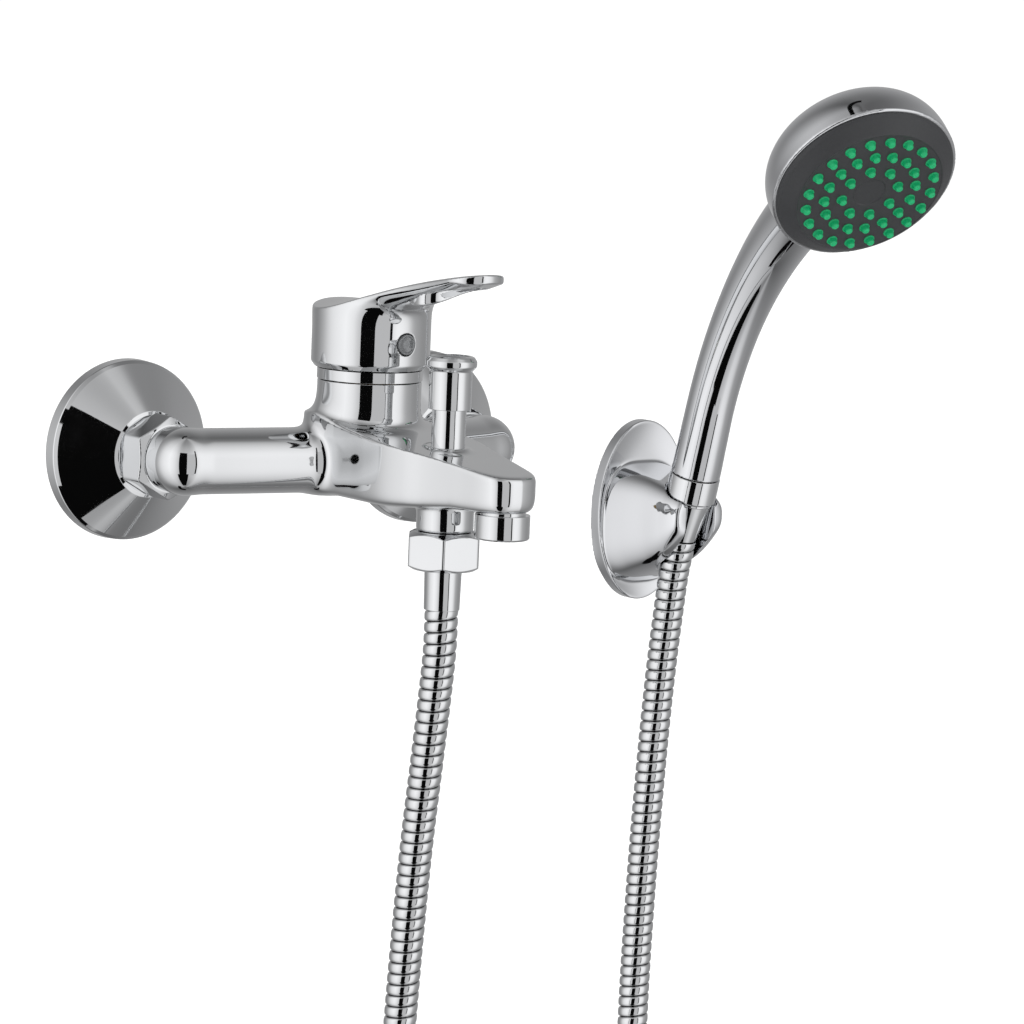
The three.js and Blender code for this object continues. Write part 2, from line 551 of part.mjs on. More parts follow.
function outlet(root) {
  const g = group(root, 0, -OUTLET_Y, 0);
  g.rotation.z = HOSE_NUT_TURN;
  const top = BOSS_BOTTOM - GAP;
  place(g, 'outlet_nipple', turned([[5.4, -33.2], [NIPPLE_R - 0.5, -33.2], [NIPPLE_R, -32.4],
    [NIPPLE_R, top], [8.3, top], [8.3, -14], [5.4, -14], [5.4, -33.2]]), BRASS);
  place(g, 'outlet_washer', sleeve(9.8, 5.4, -34.8, -33.5), RUBBER);
  place(g, 'hose_nut', cut(hexagon(HOSE_NUT_AF, HOSE_NUT_BOTTOM, top - GAP, 1.3), [
    disc(NIPPLE_R + GAP, -36.2, top + 1), disc(6.2, HOSE_NUT_BOTTOM - 1, -35)]), CHROME);
  place(g, 'hose_tail_mixer', turned([[4, -48], [5.6, -48], [5.6, -36.2 + GAP], [9.9, -36.2 + GAP],
    [9.9, -35.1], [4, -35.1], [4, -48]], 28), BRASS);
  const ferruleTop = HOSE_NUT_BOTTOM - GAP;
  place(g, 'hose_ferrule', turned([[5.9, ferruleTop], [FERRULE_R, ferruleTop],
    [FERRULE_R - 0.3, ferruleTop - FERRULE_L], [5.9, ferruleTop - FERRULE_L], [5.9, ferruleTop]],
  32), CHROME);
}

// ---- wall bracket -------------------------------------------------------------------------
const ellipse = (w, h, y) => Array.from({ length: 28 }, (_, i) => {
  const a = (i / 28) * 2 * Math.PI;
  return [BRACKET_X + w * Math.cos(a), y, BRACKET_Z + h * Math.sin(a)];
});

/** Point on the handset's axis, at a height along it above (or below) the seat. */
const onLean = (t) => [SEAT[0], SEAT[1] - t * Math.sin(LEAN), SEAT[2] + t * Math.cos(LEAN)];

function holder() {
  const cover = loft([ellipse(PLATE_HALF_W, PLATE_HALF_H, 0), ellipse(PLATE_HALF_W, PLATE_HALF_H, -4),
    ellipse(PLATE_HALF_W - 1.6, PLATE_HALF_H - 1.6, -PLATE_T)]);
  // Cheek sections: depth, half width, top and bottom height.
  const cheeks = loft([[3, 23.6, -17, -69], [8, 22.6, -17.4, -68], [16, 20.4, -18, -66],
    [26, 17.6, -19.4, -62], [35, 15.6, -21.4, -56], [41, 14.2, -24, -49.5], [45, 12.4, -28.5, -42]]
    .map(([y, w, top, bottom]) => Array.from({ length: 20 }, (_, i) => {
      const a = (i / 20) * 2 * Math.PI;
      const [c, s] = [Math.cos(a), Math.sin(a)];
      const p = 2 / 2.8;
      return [BRACKET_X + w * Math.sign(c) * Math.abs(c) ** p, -y,
        (top + bottom) / 2 + ((top - bottom) / 2) * Math.sign(s) * Math.abs(s) ** p];
    })));
  const slope = (CONE_TOP_R - CONE_BOTTOM_R) / (BAND_BOTTOM - CONE_BOTTOM);
  const coneR = (t) => CONE_BOTTOM_R + RUN + (t - CONE_BOTTOM) * slope;
  const socket = turned([[0, CONE_BOTTOM - 14], [HOSE_D / 2 + 0.9, CONE_BOTTOM - 14],
    [HOSE_D / 2 + 0.9, CONE_BOTTOM + 1.5], [coneR(BAND_BOTTOM - 1.4), BAND_BOTTOM - 1.4],
    [BAND_R + 0.8, BAND_BOTTOM - 1.2], [BAND_R + 0.8, 6], [0, 6]], 32)
    .rotateX(LEAN).translate(...SEAT);
  const half = HOSE_D / 2 + 0.9;
  const slot = box(-half, half, -30, 0, CONE_BOTTOM - 40, 6).rotateX(LEAN).translate(...SEAT);
  const channel = bar(onLean(CONE_BOTTOM - 2), [BRACKET_X, -24, -86], half, 28);
  const back = loft([ellipse(PLATE_HALF_W - 2.2, PLATE_HALF_H - 2.2, 1),
    ellipse(PLATE_HALF_W - 2.6, PLATE_HALF_H - 2.6, -3.2)]);
  return toGeometry([socket, slot, channel, back].map(solid)
    .reduce((a, b) => a.subtract(b), union([cover, cheeks])));
}

function bracket(root) {
  place(root, 'bracket_holder', holder(), CHROME);
  const screws = [['upper', SCREW_PITCH / 2], ['lower', -SCREW_PITCH / 2]];
  const base = loft([ellipse(PLATE_HALF_W - 3.4, PLATE_HALF_H - 3.4, -GAP),
    ellipse(PLATE_HALF_W - 3.4, PLATE_HALF_H - 3.4, -1.5)]);
  place(root, 'bracket_base', cut(base, screws.map(([, dz]) => bar(
    [BRACKET_X, 2, BRACKET_Z + dz], [BRACKET_X, -4, BRACKET_Z + dz], SCREW_R + GAP, 16))), WHITE_PLASTIC);
  screws.forEach(([label, dz]) => {
    const g = group(root, BRACKET_X, 0, BRACKET_Z + dz);
    g.rotation.x = QUARTER;
    place(g, `bracket_screw_${label}`, turned([[0, -20], [SCREW_R * 0.4, -19], [SCREW_R, -16],
      [SCREW_R, 1.5 + GAP], [3.8, 1.5 + GAP], [3.4, 2.7], [0, 2.8]], 18), STEEL);
    place(g, `wall_plug_${label}`, turned([[SCREW_R + GAP, -1], [4.4, -1], [3.6, -2.2], [3.6, -15],
      [3, -19], [SCREW_R + GAP, -19], [SCREW_R + GAP, -1]], 18), WHITE_PLASTIC);
  });
}

// ---- conical nut and handset --------------------------------------------------------------
function conicalNut(parent) {
  place(parent, 'cone_nut', turned([[CONE_BOTTOM_R - 1.4, CONE_BOTTOM], [CONE_BOTTOM_R, CONE_BOTTOM],
    [CONE_TOP_R, BAND_BOTTOM - 0.6], [CONE_TOP_R + 0.5, BAND_BOTTOM], [BAND_R, BAND_BOTTOM + 0.6],
    [BAND_R, BAND_TOP], [9.9, BAND_TOP], [9.9, -15], [7.2, -17.6], [5, -27],
    [CONE_BOTTOM_R - 1.4, CONE_BOTTOM]], 36), CHROME);
  place(parent, 'hose_tail_handset', turned([[3, -32.3], [4.4, -32.3], [4.4, -28], [6.6, -17.4],
    [6.6, -16], [3, -16], [3, -32.3]], 24), BRASS);
  place(parent, 'cone_washer', sleeve(9.3, 3.4, -14.8, -12.8, 28), RUBBER);
}

/** Centre line of the handle in the plane of the handset: forward and up from the seat. */
function handleAxis(t) {
  const bend = HANDLE_BEND_R * HANDLE_BEND;
  const d = t - HANDLE_STRAIGHT;
  if (d <= 0) return { s: 0, z: t, a: 0 };
  const a = Math.min(d, bend) / HANDLE_BEND_R;
  const rest = Math.max(0, d - bend);
  return { s: HANDLE_BEND_R * (1 - Math.cos(a)) + rest * Math.sin(a),
    z: HANDLE_STRAIGHT + HANDLE_BEND_R * Math.sin(a) + rest * Math.cos(a), a };
}

/** Round rings along the handle; each stop is [distance along the axis, radius]. */
const handleRings = (stops, sides) => stops.map(([t, r]) => {
  const { s, z, a } = handleAxis(t);
  const count = facets(sides);
  return Array.from({ length: count }, (_, i) => {
    const b = (i / count) * 2 * Math.PI;
    const across = r * Math.sin(b);
    return [r * Math.cos(b), -s - across * Math.cos(a), z - across * Math.sin(a)];
  });
});

const stations = (from, to, n, r) =>
  Array.from({ length: n + 1 }, (_, i) => [from + ((to - from) * i) / n, r]);
const HANDLE_END = HANDLE_STRAIGHT + HANDLE_BEND_R * HANDLE_BEND + 14;
const toFace = (g) => g.rotateX(QUARTER + FACE_TILT).translate(0, -FACE_S, FACE_T);

function domeProfile(inset) {
  const r = HEAD_R - inset;
  const depth = HEAD_DEPTH - inset;
  const points = [];
  for (let i = 0; i <= 6; i += 1) {
    const v = Math.sin((i / 6) * QUARTER);
    points.push([r * Math.max(0, 1 - v ** 2.5) ** 0.4, -HEAD_RIM - (depth - HEAD_RIM) * v]);
  }
  return points;
}

function handsetShell() {
  const handleOuter = loft(handleRings([[BAND_TOP + GAP, 10.9], [12, 10.7], [HANDLE_STRAIGHT, 10.5],
    [40, 10.5], [60, 10.8], [80, 11.3], [100, 12], [120, 12.8], [138, 13.8], [HANDLE_END, 15]], 28));
  const dome = toFace(turned([[0, 0], [HEAD_R, 0], ...domeProfile(0)], 44));
  const inside = toFace(turned([[0, 1], [PLATE_R + RUN, 1], [PLATE_R + RUN, -3],
    ...domeProfile(HEAD_WALL)], 44));
  const bore = loft(handleRings([[BAND_TOP - 1, HANDLE_BORE_R],
    ...stations(HANDLE_STRAIGHT, HANDLE_END + 4, 7, HANDLE_BORE_R)], 32));
  return toGeometry(union([handleOuter, dome]).subtract(solid(inside)).subtract(solid(bore)));
}

function nozzles(r0, r1, z0, z1, sides) {
  const list = [];
  NOZZLE_RINGS.forEach(([ring, count, first]) => {
    for (let i = 0; i < count; i += 1) {
      const a = ((i + first) / count) * 2 * Math.PI;
      list.push(turned([[0, z0], [r0, z0], [r1, z1], [0, z1]], sides)
        .translate(ring * Math.cos(a), ring * Math.sin(a), 0));
    }
  });
  return list;
}

function handset(parent) {
  place(parent, 'handset_shell', handsetShell(), CHROME);
  place(parent, 'thread_insert', turned([[4.2, -12.5], [9.5, -12.5], [9.5, BAND_TOP - GAP],
    [7.4, BAND_TOP - GAP], [7.4, 14], [6.4, 14], [6.4, 4], [4.2, 4], [4.2, -12.5]], 28), WHITE_PLASTIC);
  const pipe = loft(handleRings([[5, 6], ...stations(15, HANDLE_END - 22, 9, 6)], 14));
  const pipeBore = loft(handleRings([[4, 4.4], ...stations(15, HANDLE_END - 20, 9, 4.4)], 12));
  place(parent, 'water_tube', cut(pipe, [pipeBore]), WHITE_PLASTIC);
  const face = group(parent, 0, -FACE_S, FACE_T);
  face.rotation.x = QUARTER + FACE_TILT;
  const back = FACE_RISE - 2.4;
  const plate = turned([[0, back], [30.5, back], [36.6, -2], [PLATE_R, -2], [PLATE_R, 0.4],
    [PLATE_R - 0.7, 1.2], [32.4, FACE_RISE - 0.5], [31.4, FACE_RISE], [0, FACE_RISE]], 44);
  place(face, 'face_plate', cut(plate, nozzles(NOZZLE_R + RUN, NOZZLE_R + RUN,
    back - 1, FACE_RISE + 1, 5)), GREY_PLASTIC);
  const sheet = disc(29.8, back - GAP - 1.5, back - GAP, 36);
  const mat = nozzles(NOZZLE_R, 1, back - GAP - 0.5, NOZZLE_TIP, 5).map(solid)
    .reduce((a, b) => a.add(b), solid(sheet));
  place(face, 'nozzle_mat', toGeometry(mat), GREEN_SILICONE);
  const seatZ = back - GAP - 1.5 - GAP;
  const feed = Array.from({ length: 8 }, (_, i) => {
    const a = (i / 8) * 2 * Math.PI;
    return disc(1.6, -9, 6, 6).translate(20 * Math.cos(a), 20 * Math.sin(a), 0);
  });
  place(face, 'diffuser_plate', cut(turned([[0, -4], [33, -4], [33, -2.2], [29.4, seatZ],
    [0, seatZ]], 36), feed), WHITE_PLASTIC);
  place(face, 'face_seal', sleeve(36.2, 33.5, -4.2, -2.4, 36), RUBBER);
}

// ---- assembly -----------------------------------------------------------------------------
const faucet = new THREE.Group();
place(faucet, 'mixer_body', mixerBody(), CHROME);
inlet(faucet, -1, 'left');
inlet(faucet, 1, 'right');
cartridge(faucet);
diverter(faucet);
aerator(faucet);
outlet(faucet);
place(faucet, 'shower_hose', tube(HOSE_ROUTE, HOSE_D / 2, 8, 40), STEEL);
bracket(faucet);
const leaning = group(faucet, ...SEAT);
leaning.rotation.x = LEAN;
conicalNut(leaning);
const turnedHandset = group(leaning, 0, 0, 0);
turnedHandset.rotation.z = TWIST;
handset(turnedHandset);

export default faucet;
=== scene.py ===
"""Wall mounted bath mixer with hand shower: surfaces, finishes, light and camera round the frame.

Lengths inside the functions are millimetres in the row frame; the mesh maker turns them to metres.
"""
import json
import math

import bpy
import numpy as np
from mathutils import Matrix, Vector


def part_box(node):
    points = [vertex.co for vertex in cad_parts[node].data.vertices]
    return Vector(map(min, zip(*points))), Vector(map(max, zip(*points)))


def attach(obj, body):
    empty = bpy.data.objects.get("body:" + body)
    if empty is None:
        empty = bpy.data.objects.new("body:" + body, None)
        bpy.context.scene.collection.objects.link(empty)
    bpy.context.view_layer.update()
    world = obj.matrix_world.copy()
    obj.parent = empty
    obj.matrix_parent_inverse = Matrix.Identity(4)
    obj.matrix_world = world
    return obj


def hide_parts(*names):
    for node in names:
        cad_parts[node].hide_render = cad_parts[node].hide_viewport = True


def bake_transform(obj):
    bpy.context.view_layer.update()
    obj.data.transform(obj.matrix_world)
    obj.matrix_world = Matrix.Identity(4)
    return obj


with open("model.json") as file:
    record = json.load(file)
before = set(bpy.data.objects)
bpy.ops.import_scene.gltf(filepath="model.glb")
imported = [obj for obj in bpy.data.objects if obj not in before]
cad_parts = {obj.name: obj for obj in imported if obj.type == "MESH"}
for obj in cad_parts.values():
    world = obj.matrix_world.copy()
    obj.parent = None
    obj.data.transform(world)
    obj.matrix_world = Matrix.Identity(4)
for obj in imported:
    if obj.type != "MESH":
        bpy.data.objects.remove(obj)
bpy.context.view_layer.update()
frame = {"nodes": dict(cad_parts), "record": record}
MM = 0.001
TAU = 2 * math.pi



def middle(node, axis):
    """Middle of a CAD node's box along an axis, in millimetres, to a hundredth."""
    low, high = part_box(node)
    return round((low[axis] + high[axis]) / 2 / MM, 2)


# ---- places taken from the frame, and the sizes the castings share --------------------------
HOUSING_Y = middle("cartridge_nut", 1)
OUTLET_Y = middle("hose_nut", 1)
AERATOR_Y = middle("aerator_housing", 1)
INLET_X = middle("escutcheon_right", 0)
BRACKET = (middle("bracket_base", 0), middle("bracket_base", 2))
PLUG_Z = middle("index_plug", 2)
SEAT = np.array([BRACKET[0], -40.8, -14.6])     # foot of the handset, in the holder's cone
LEAN = math.radians(14.4)                       # the cone leans out from the wall
TWIST = math.radians(-12.4)                     # the handset is turned in its cone
ARM_R, HOUSING_R, CAP_R = 13.3, 21.15, 24.2
SPOUT_TIP_Y = -168.0
BLADE_END_Y, BLADE_END_R = -130.5, 12.6         # the lever's rounded end
HOSE_WAY = 7.9                                  # half width of the holder's slot for the hose
FACE_S, FACE_T, FACE_TILT = 82.9, 158.6, 0.43
HEAD_R, HEAD_DEPTH, HEAD_RIM = 40.0, 30.0, 4.0

HOSE_ROUTE = np.array([
    [0, -119.5, -54.1], [0, -119.3, -70], [0, -117.2, -90], [0, -113.8, -116],
    [0, -109.3, -150], [0, -105, -195], [0.5, -101, -245], [2, -97, -300], [5, -92.5, -355],
    [8, -88, -410], [11.5, -83.5, -464], [17, -79, -515], [27, -76, -549], [45, -72.5, -577],
    [70, -68.5, -596], [100, -64, -603], [130, -59, -596], [155, -54.5, -577],
    [172, -50.5, -549], [180, -46, -515], [183.5, -41, -464], [185.5, -36, -404],
    [188, -30, -336], [190, -24.5, -268], [192, -23.5, -206], [194.5, -23.6, -152],
    [197, -24.4, -108], [198.3, -26.3, -80], [198.4, -28.9, -61.4], [198.4, -32.6, -46.6]])


# ---- camera ---------------------------------------------------------------------------------
CAMERA_AT = (-1.0715882, -1.5121797, 0.2104416)      # metres
CAMERA_TURN = (0.670867, 0.1267155, 0.0417157)       # yaw, pitch and roll, radians
SENSOR_MM, LENS_MM = 36.0, 156.780387


def set_camera():
    """Camera on a stand left of the mixer: yaw turns it from +Y towards +X, pitch looks down,
    roll tips it about its own view line."""
    yaw, pitch, roll = CAMERA_TURN
    ahead = np.array([math.sin(yaw) * math.cos(pitch), math.cos(yaw) * math.cos(pitch),
                      -math.sin(pitch)])
    level = np.array([math.cos(yaw), -math.sin(yaw), 0.0])
    up = np.cross(level, ahead)
    right = math.cos(roll) * level + math.sin(roll) * up
    top = -math.sin(roll) * level + math.cos(roll) * up
    data = bpy.data.cameras.new("studio_camera")
    data.sensor_width = SENSOR_MM
    data.lens = LENS_MM
    data.clip_end = 60.0
    camera = bpy.data.objects.new("studio_camera", data)
    bpy.context.scene.collection.objects.link(camera)
    turn = Matrix([list(right), list(top), list(-ahead)]).transposed().to_4x4()
    turn.translation = CAMERA_AT
    camera.matrix_world = turn
    bpy.context.scene.camera = camera


# ---- mesh makers ----------------------------------------------------------------------------
def mesh_piece(name, points, faces, material, body, stands_for=(), normals=None,
               attributes=None):
    """Puts arrays of points (millimetres) and faces into a smooth mesh that rides on a body.
    A face row may repeat its last index to stand for a triangle."""
    mesh = bpy.data.meshes.new(name)
    faces = np.asarray(faces, np.int32)
    three = faces[:, 2] == faces[:, 3] if faces.shape[1] == 4 else np.ones(len(faces), bool)
    sizes = np.where(three, 3, 4)
    keep = np.ones(faces.shape, bool)
    if faces.shape[1] == 4:
        keep[three, 3] = False
    corners = faces[keep]
    mesh.vertices.add(len(points))
    mesh.vertices.foreach_set("co", (np.asarray(points, np.float32) * MM).ravel())
    mesh.loops.add(len(corners))
    mesh.loops.foreach_set("vertex_index", corners.astype(np.int32))
    mesh.polygons.add(len(faces))
    starts = np.concatenate([[0], np.cumsum(sizes)[:-1]])
    mesh.polygons.foreach_set("loop_start", starts.astype(np.int32))
    mesh.update(calc_edges=True)
    mesh.polygons.foreach_set("use_smooth", np.ones(len(faces), bool))
    for key, values in (attributes or {}).items():
        mesh.attributes.new(key, "FLOAT", "POINT").data.foreach_set(
            "value", np.asarray(values, np.float32))
    if normals is not None:
        mesh.normals_split_custom_set_from_vertices(np.asarray(normals, float))
    mesh.validate()
    made = bpy.data.objects.new(f"{name}_shape" if stands_for else name, mesh)
    bpy.context.scene.collection.objects.link(made)
    mesh.materials.append(material)
    if body is not None:
        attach(made, body)
        if stands_for:
            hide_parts(*stands_for)
    return made


def grid_faces(rows, columns, closed_rows=False, closed_columns=True):
    """Quads between neighbouring rows and columns of a grid of points."""
    r = np.arange(rows if closed_rows else rows - 1)
    c = np.arange(columns if closed_columns else columns - 1)
    r, c = (a.ravel() for a in np.meshgrid(r, c, indexing="ij"))
    r2, c2 = (r + 1) % rows, (c + 1) % columns
    return np.stack([r * columns + c, r * columns + c2, r2 * columns + c2, r2 * columns + c], 1)


def rounded(profile, fine=5):
    """Profile corners (radius, height, rounding) turned to arcs: each corner is cut back by its
    rounding and joined by a quarter-like arc, with a point kept near each straight's ends.
    Returns the points and the unit tangent at each."""
    p = np.array([q[:2] for q in profile], float)
    radius = np.array([q[2] if len(q) > 2 else 0.25 for q in profile], float)
    out, along = [p[0]], [(p[1] - p[0]) / np.linalg.norm(p[1] - p[0])]
    for i in range(1, len(p) - 1):
        a, b = p[i] - p[i - 1], p[i + 1] - p[i]
        la, lb = np.linalg.norm(a), np.linalg.norm(b)
        a, b = a / la, b / lb
        bend = math.acos(float(np.clip(a @ b, -1, 1)))
        if bend < 1e-3:
            continue
        reach = min(radius[i] * math.tan(bend / 2), 0.46 * la, 0.46 * lb)
        t = np.linspace(0, 1, fine + 1)[:, None]
        start, end = p[i] - a * reach, p[i] + b * reach
        arc = (1 - t) ** 2 * start + 2 * t * (1 - t) * p[i] + t ** 2 * end
        way = (1 - t) * a + t * b
        out.extend(arc)
        along.extend(way / np.linalg.norm(way, axis=1)[:, None])
    out.append(p[-1])
    along.append((p[-1] - p[-2]) / np.linalg.norm(p[-1] - p[-2]))
    return np.array(out), np.array(along)


def turned(profile, sides=96, fine=5):
    """Solid of revolution: (r(t) cos a, r(t) sin a, z(t)) over a rounded profile that runs
    upwards on its outside. Returns points, faces and normals; ends on the axis become one point."""
    line, along = rounded(profile, fine)
    angle = np.arange(sides) / sides * TAU
    c, s = np.cos(angle), np.sin(angle)
    r, z = line[:, :1], line[:, 1:]
    points = np.stack([r * c, r * s, np.broadcast_to(z, (len(line), sides))], 2)
    normals = np.stack([along[:, 1:] * c, along[:, 1:] * s,
                        np.broadcast_to(-along[:, :1], (len(line), sides))], 2)
    faces = grid_faces(len(line), sides)
    points, normals = points.reshape(-1, 3), normals.reshape(-1, 3)
    for row in (0, len(line) - 1):
        if line[row, 0] < 1e-6:
            ring = np.arange(row * sides, (row + 1) * sides)
            same = np.isin(faces, ring)
            faces = np.where(same, ring[0], faces)
            normals[ring[0]] = (0, 0, -1 if row == 0 else 1)
    return points, drop_repeats(faces), normals


def drop_repeats(faces):
    """Faces with two equal neighbouring corners become triangles, with the last index repeated."""
    a, b, c, d = faces.T
    tri = faces.copy()
    tri[a == b] = np.stack([a, c, d, d], 1)[a == b]
    tri[c == d] = np.stack([a, b, c, c], 1)[c == d]
    good = (tri[:, 0] != tri[:, 1]) & (tri[:, 1] != tri[:, 2]) & (tri[:, 2] != tri[:, 0])
    return tri[good]


def placed(shape, at=(0, 0, 0), turn=None):
    """Turns and moves points, faces, normals."""
    points, faces, normals = shape
    if turn is not None:
        points, normals = points @ turn.T, normals @ turn.T
    return points + np.asarray(at, float), faces, normals


def about_x(angle):
    """Turn about X, as a matrix."""
    c, s = math.cos(angle), math.sin(angle)
    return np.array([[1, 0, 0], [0, c, -s], [0, s, c]])


def about_z(angle):
    """Turn about Z, as a matrix."""
    c, s = math.cos(angle), math.sin(angle)
    return np.array([[c, -s, 0], [s, c, 0], [0, 0, 1]])


ON_WALL = about_x(math.pi / 2)          # a turned piece's height runs out from the wall
ON_LEAN = about_x(LEAN)                 # the holder's and the cone's axis
ON_HANDSET = ON_LEAN @ about_z(TWIST)   # the handset's own frame
FACE_TURN = ON_HANDSET @ about_x(math.pi / 2 + FACE_TILT)
FACE_AT = SEAT + ON_HANDSET @ np.array([0, -FACE_S, FACE_T])


def through(points, per=24):
    """Centripetal Catmull-Rom line through points, with per points on each stretch, even in the
    curve's parameter rather than along its length.
    """
    q = np.vstack([2 * points[0] - points[1], points, 2 * points[-1] - points[-2]])
    p0, p1, p2, p3 = q[:-3], q[1:-2], q[2:-1], q[3:]
    d0, d1, d2 = (np.linalg.norm(b - a, axis=1)[:, None] ** 0.5
                  for a, b in ((p0, p1), (p1, p2), (p2, p3)))
    m1 = ((p1 - p0) / d0 - (p2 - p0) / (d0 + d1) + (p2 - p1) / d1) * d1
    m2 = ((p2 - p1) / d1 - (p3 - p1) / (d1 + d2) + (p3 - p2) / d2) * d1
    t = (np.arange(per) / per)[:, None, None]
    line = ((2 * p1 - 2 * p2 + m1 + m2) * t ** 3 + (-3 * p1 + 3 * p2 - 2 * m1 - m2) * t ** 2
            + m1 * t + p1)
    return np.vstack([line.transpose(1, 0, 2).reshape(-1, 3), points[-1:]])


def even(line, spacing):
    """A line's points respaced evenly along its length."""
    s = np.concatenate([[0], np.cumsum(np.linalg.norm(np.diff(line, axis=0), axis=1))])
    u = np.linspace(0, s[-1], max(2, int(round(s[-1] / spacing)) + 1))
    return np.stack([np.interp(u, s, line[:, k]) for k in range(3)], 1), u


def eased(x, at, value):
    """Smooth curve through points (at, value): a cubic on each stretch,
    v = (2t^3-3t^2+1) v0 + (t^3-2t^2+t) h m0 + (3t^2-2t^3) v1 + (t^3-t^2) h m1, whose slopes m are
    the distance-weighted mean of the neighbouring stretches, or 0 at a turn; level outside."""
    at, value = np.asarray(at, float), np.asarray(value, float)
    h = np.diff(at)
    rise = np.diff(value) / h
    m = np.zeros(len(at))
    same = rise[:-1] * rise[1:] > 0
    m[1:-1] = np.where(same, (h[1:] * rise[:-1] + h[:-1] * rise[1:]) / (h[:-1] + h[1:]), 0)
    m[0], m[-1] = rise[0], rise[-1]
    x = np.clip(x, at[0], at[-1])
    i = np.clip(np.searchsorted(at, x, side="right") - 1, 0, len(h) - 1)
    t = (x - at[i]) / h[i]
    return ((2 * t ** 3 - 3 * t ** 2 + 1) * value[i] + (t ** 3 - 2 * t ** 2 + t) * h[i] * m[i]
            + (3 * t ** 2 - 2 * t ** 3) * value[i + 1] + (t ** 3 - t ** 2) * h[i] * m[i + 1])


# ---- blended castings: the zero level of a distance field -------------------------------------
def soft_min(a, b, k):
    """Union of two fields with a fillet about k wide."""
    h = np.maximum(k - np.abs(a - b), 0) / k
    return np.minimum(a, b) - h ** 3 * k / 6


def soft_max(a, b, k):
    """Overlap of two fields with its edge rounded about k wide."""
    return -soft_min(-a, -b, k)


def skin(field, axes, rounds=3):
    """Surface where the field is zero, on the cells of a grid: one point per crossed cell, put at
    the mean of its crossed edges, then moved on to the zero level by Newton steps and evened
    out along the surface. Returns points, faces and normals."""
    grid = np.stack(np.meshgrid(*axes, indexing="ij"), -1)
    shape = grid.shape[:3]
    value = field(grid.reshape(-1, 3)).reshape(shape)
    inside = value < 0
    cells = tuple(n - 1 for n in shape)
    total, count = np.zeros(cells + (3,)), np.zeros(cells)
    edges = []
    for k in range(3):
        low = tuple(slice(0, -1) if j == k else slice(None) for j in range(3))
        high = tuple(slice(1, None) if j == k else slice(None) for j in range(3))
        crossed = inside[low] != inside[high]
        i = np.argwhere(crossed)
        a, b = value[low][crossed], value[high][crossed]
        t = (a / (a - b))[:, None]
        spot = grid[low][crossed] * (1 - t) + grid[high][crossed] * t
        others = [j for j in range(3) if j != k]
        for da in (0, 1):
            for db in (0, 1):
                c = i.copy()
                c[:, others[0]] -= da
                c[:, others[1]] -= db
                good = ((c >= 0) & (c < np.array(cells))).all(1)
                np.add.at(total, tuple(c[good].T), spot[good])
                np.add.at(count, tuple(c[good].T), 1)
        edges.append((k, others, i, inside[low][crossed]))
    used = count > 0
    index = np.full(cells, -1)
    index[used] = np.arange(used.sum())
    points = total[used] / count[used][:, None]
    quads = []
    for k, (u, v), i, start_inside in edges:
        good = ((i[:, u] > 0) & (i[:, v] > 0) & (i[:, u] < cells[u]) & (i[:, v] < cells[v]))
        i, start_inside = i[good], start_inside[good]
        around = []
        for da, db in ((1, 1), (0, 1), (0, 0), (1, 0)):
            c = i.copy()
            c[:, u] -= da
            c[:, v] -= db
            around.append(index[tuple(c.T)])
        q = np.stack(around, 1)
        flip = start_inside if k != 1 else ~start_inside
        q[~flip] = q[~flip][:, ::-1]
        quads.append(q)
    quads = np.concatenate(quads)

    def slope(p, reach=0.02):
        return np.stack([(field(p + reach * e) - field(p - reach * e)) / (2 * reach)
                         for e in np.eye(3)], 1)

    def settle(p, steps):
        for _ in range(steps):
            g = slope(p)
            p = p - np.clip(field(p), -1, 1)[:, None] * g / np.maximum(
                (g ** 2).sum(1), 0.05)[:, None]
        return p

    points = settle(points, 4)
    a, b = quads[:, [0, 1, 2, 3]].ravel(), quads[:, [1, 2, 3, 0]].ravel()
    for _ in range(rounds):
        near = np.zeros_like(points)
        for k in range(3):
            near[:, k] = np.bincount(a, points[b, k], len(points)) + np.bincount(
                b, points[a, k], len(points))
        many = np.bincount(a, minlength=len(points)) + np.bincount(b, minlength=len(points))
        shift = near / many[:, None] - points
        n = slope(points)
        n /= np.linalg.norm(n, axis=1)[:, None]
        points = settle(points + 0.5 * (shift - (shift * n).sum(1)[:, None] * n), 2)
    n = slope(points)
    return points, quads, n / np.linalg.norm(n, axis=1)[:, None]


def steps(low, high, pitch, fine=()):
    """Grid lines from low to high; each (from, to, pitch) in fine is cut closer."""
    marks = np.arange(low, high + pitch, pitch)
    for a, b, p in fine:
        marks = np.concatenate([marks[(marks < a - p / 2) | (marks > b + p / 2)],
                                np.arange(a, b + p / 2, p)])
    return np.sort(marks)


def rod(p, a, b, r):
    """Distance to a round bar with ball ends."""
    a, b = np.asarray(a, float), np.asarray(b, float)
    d = b - a
    t = np.clip(((p - a) @ d) / (d @ d), 0, 1)
    return np.linalg.norm(p - a - t[:, None] * d, axis=1) - r


def upright(p, x, y, r):
    """Distance to an endless upright cylinder."""
    return np.hypot(p[:, 0] - x, p[:, 1] - y) - r


# ---- finishes -------------------------------------------------------------------------------
def linear(code):
    """sRGB hex to linear red, green, blue, alpha."""
    s = [int(code[k:k + 2], 16) / 255 for k in (1, 3, 5)]
    return tuple(v / 12.92 if v <= 0.04045 else ((v + 0.055) / 1.055) ** 2.4 for v in s) + (1.0,)


def add(tree, kind, sockets=None, **settings):
    """Adds a node with its settings; sockets gives each input a value or the output it joins."""
    made = tree.nodes.new(kind)
    for key, value in settings.items():
        setattr(made, key, value)
    for key, value in (sockets or {}).items():
        if isinstance(value, bpy.types.NodeSocket):
            tree.links.new(value, made.inputs[key])
        else:
            made.inputs[key].default_value = value
    return made


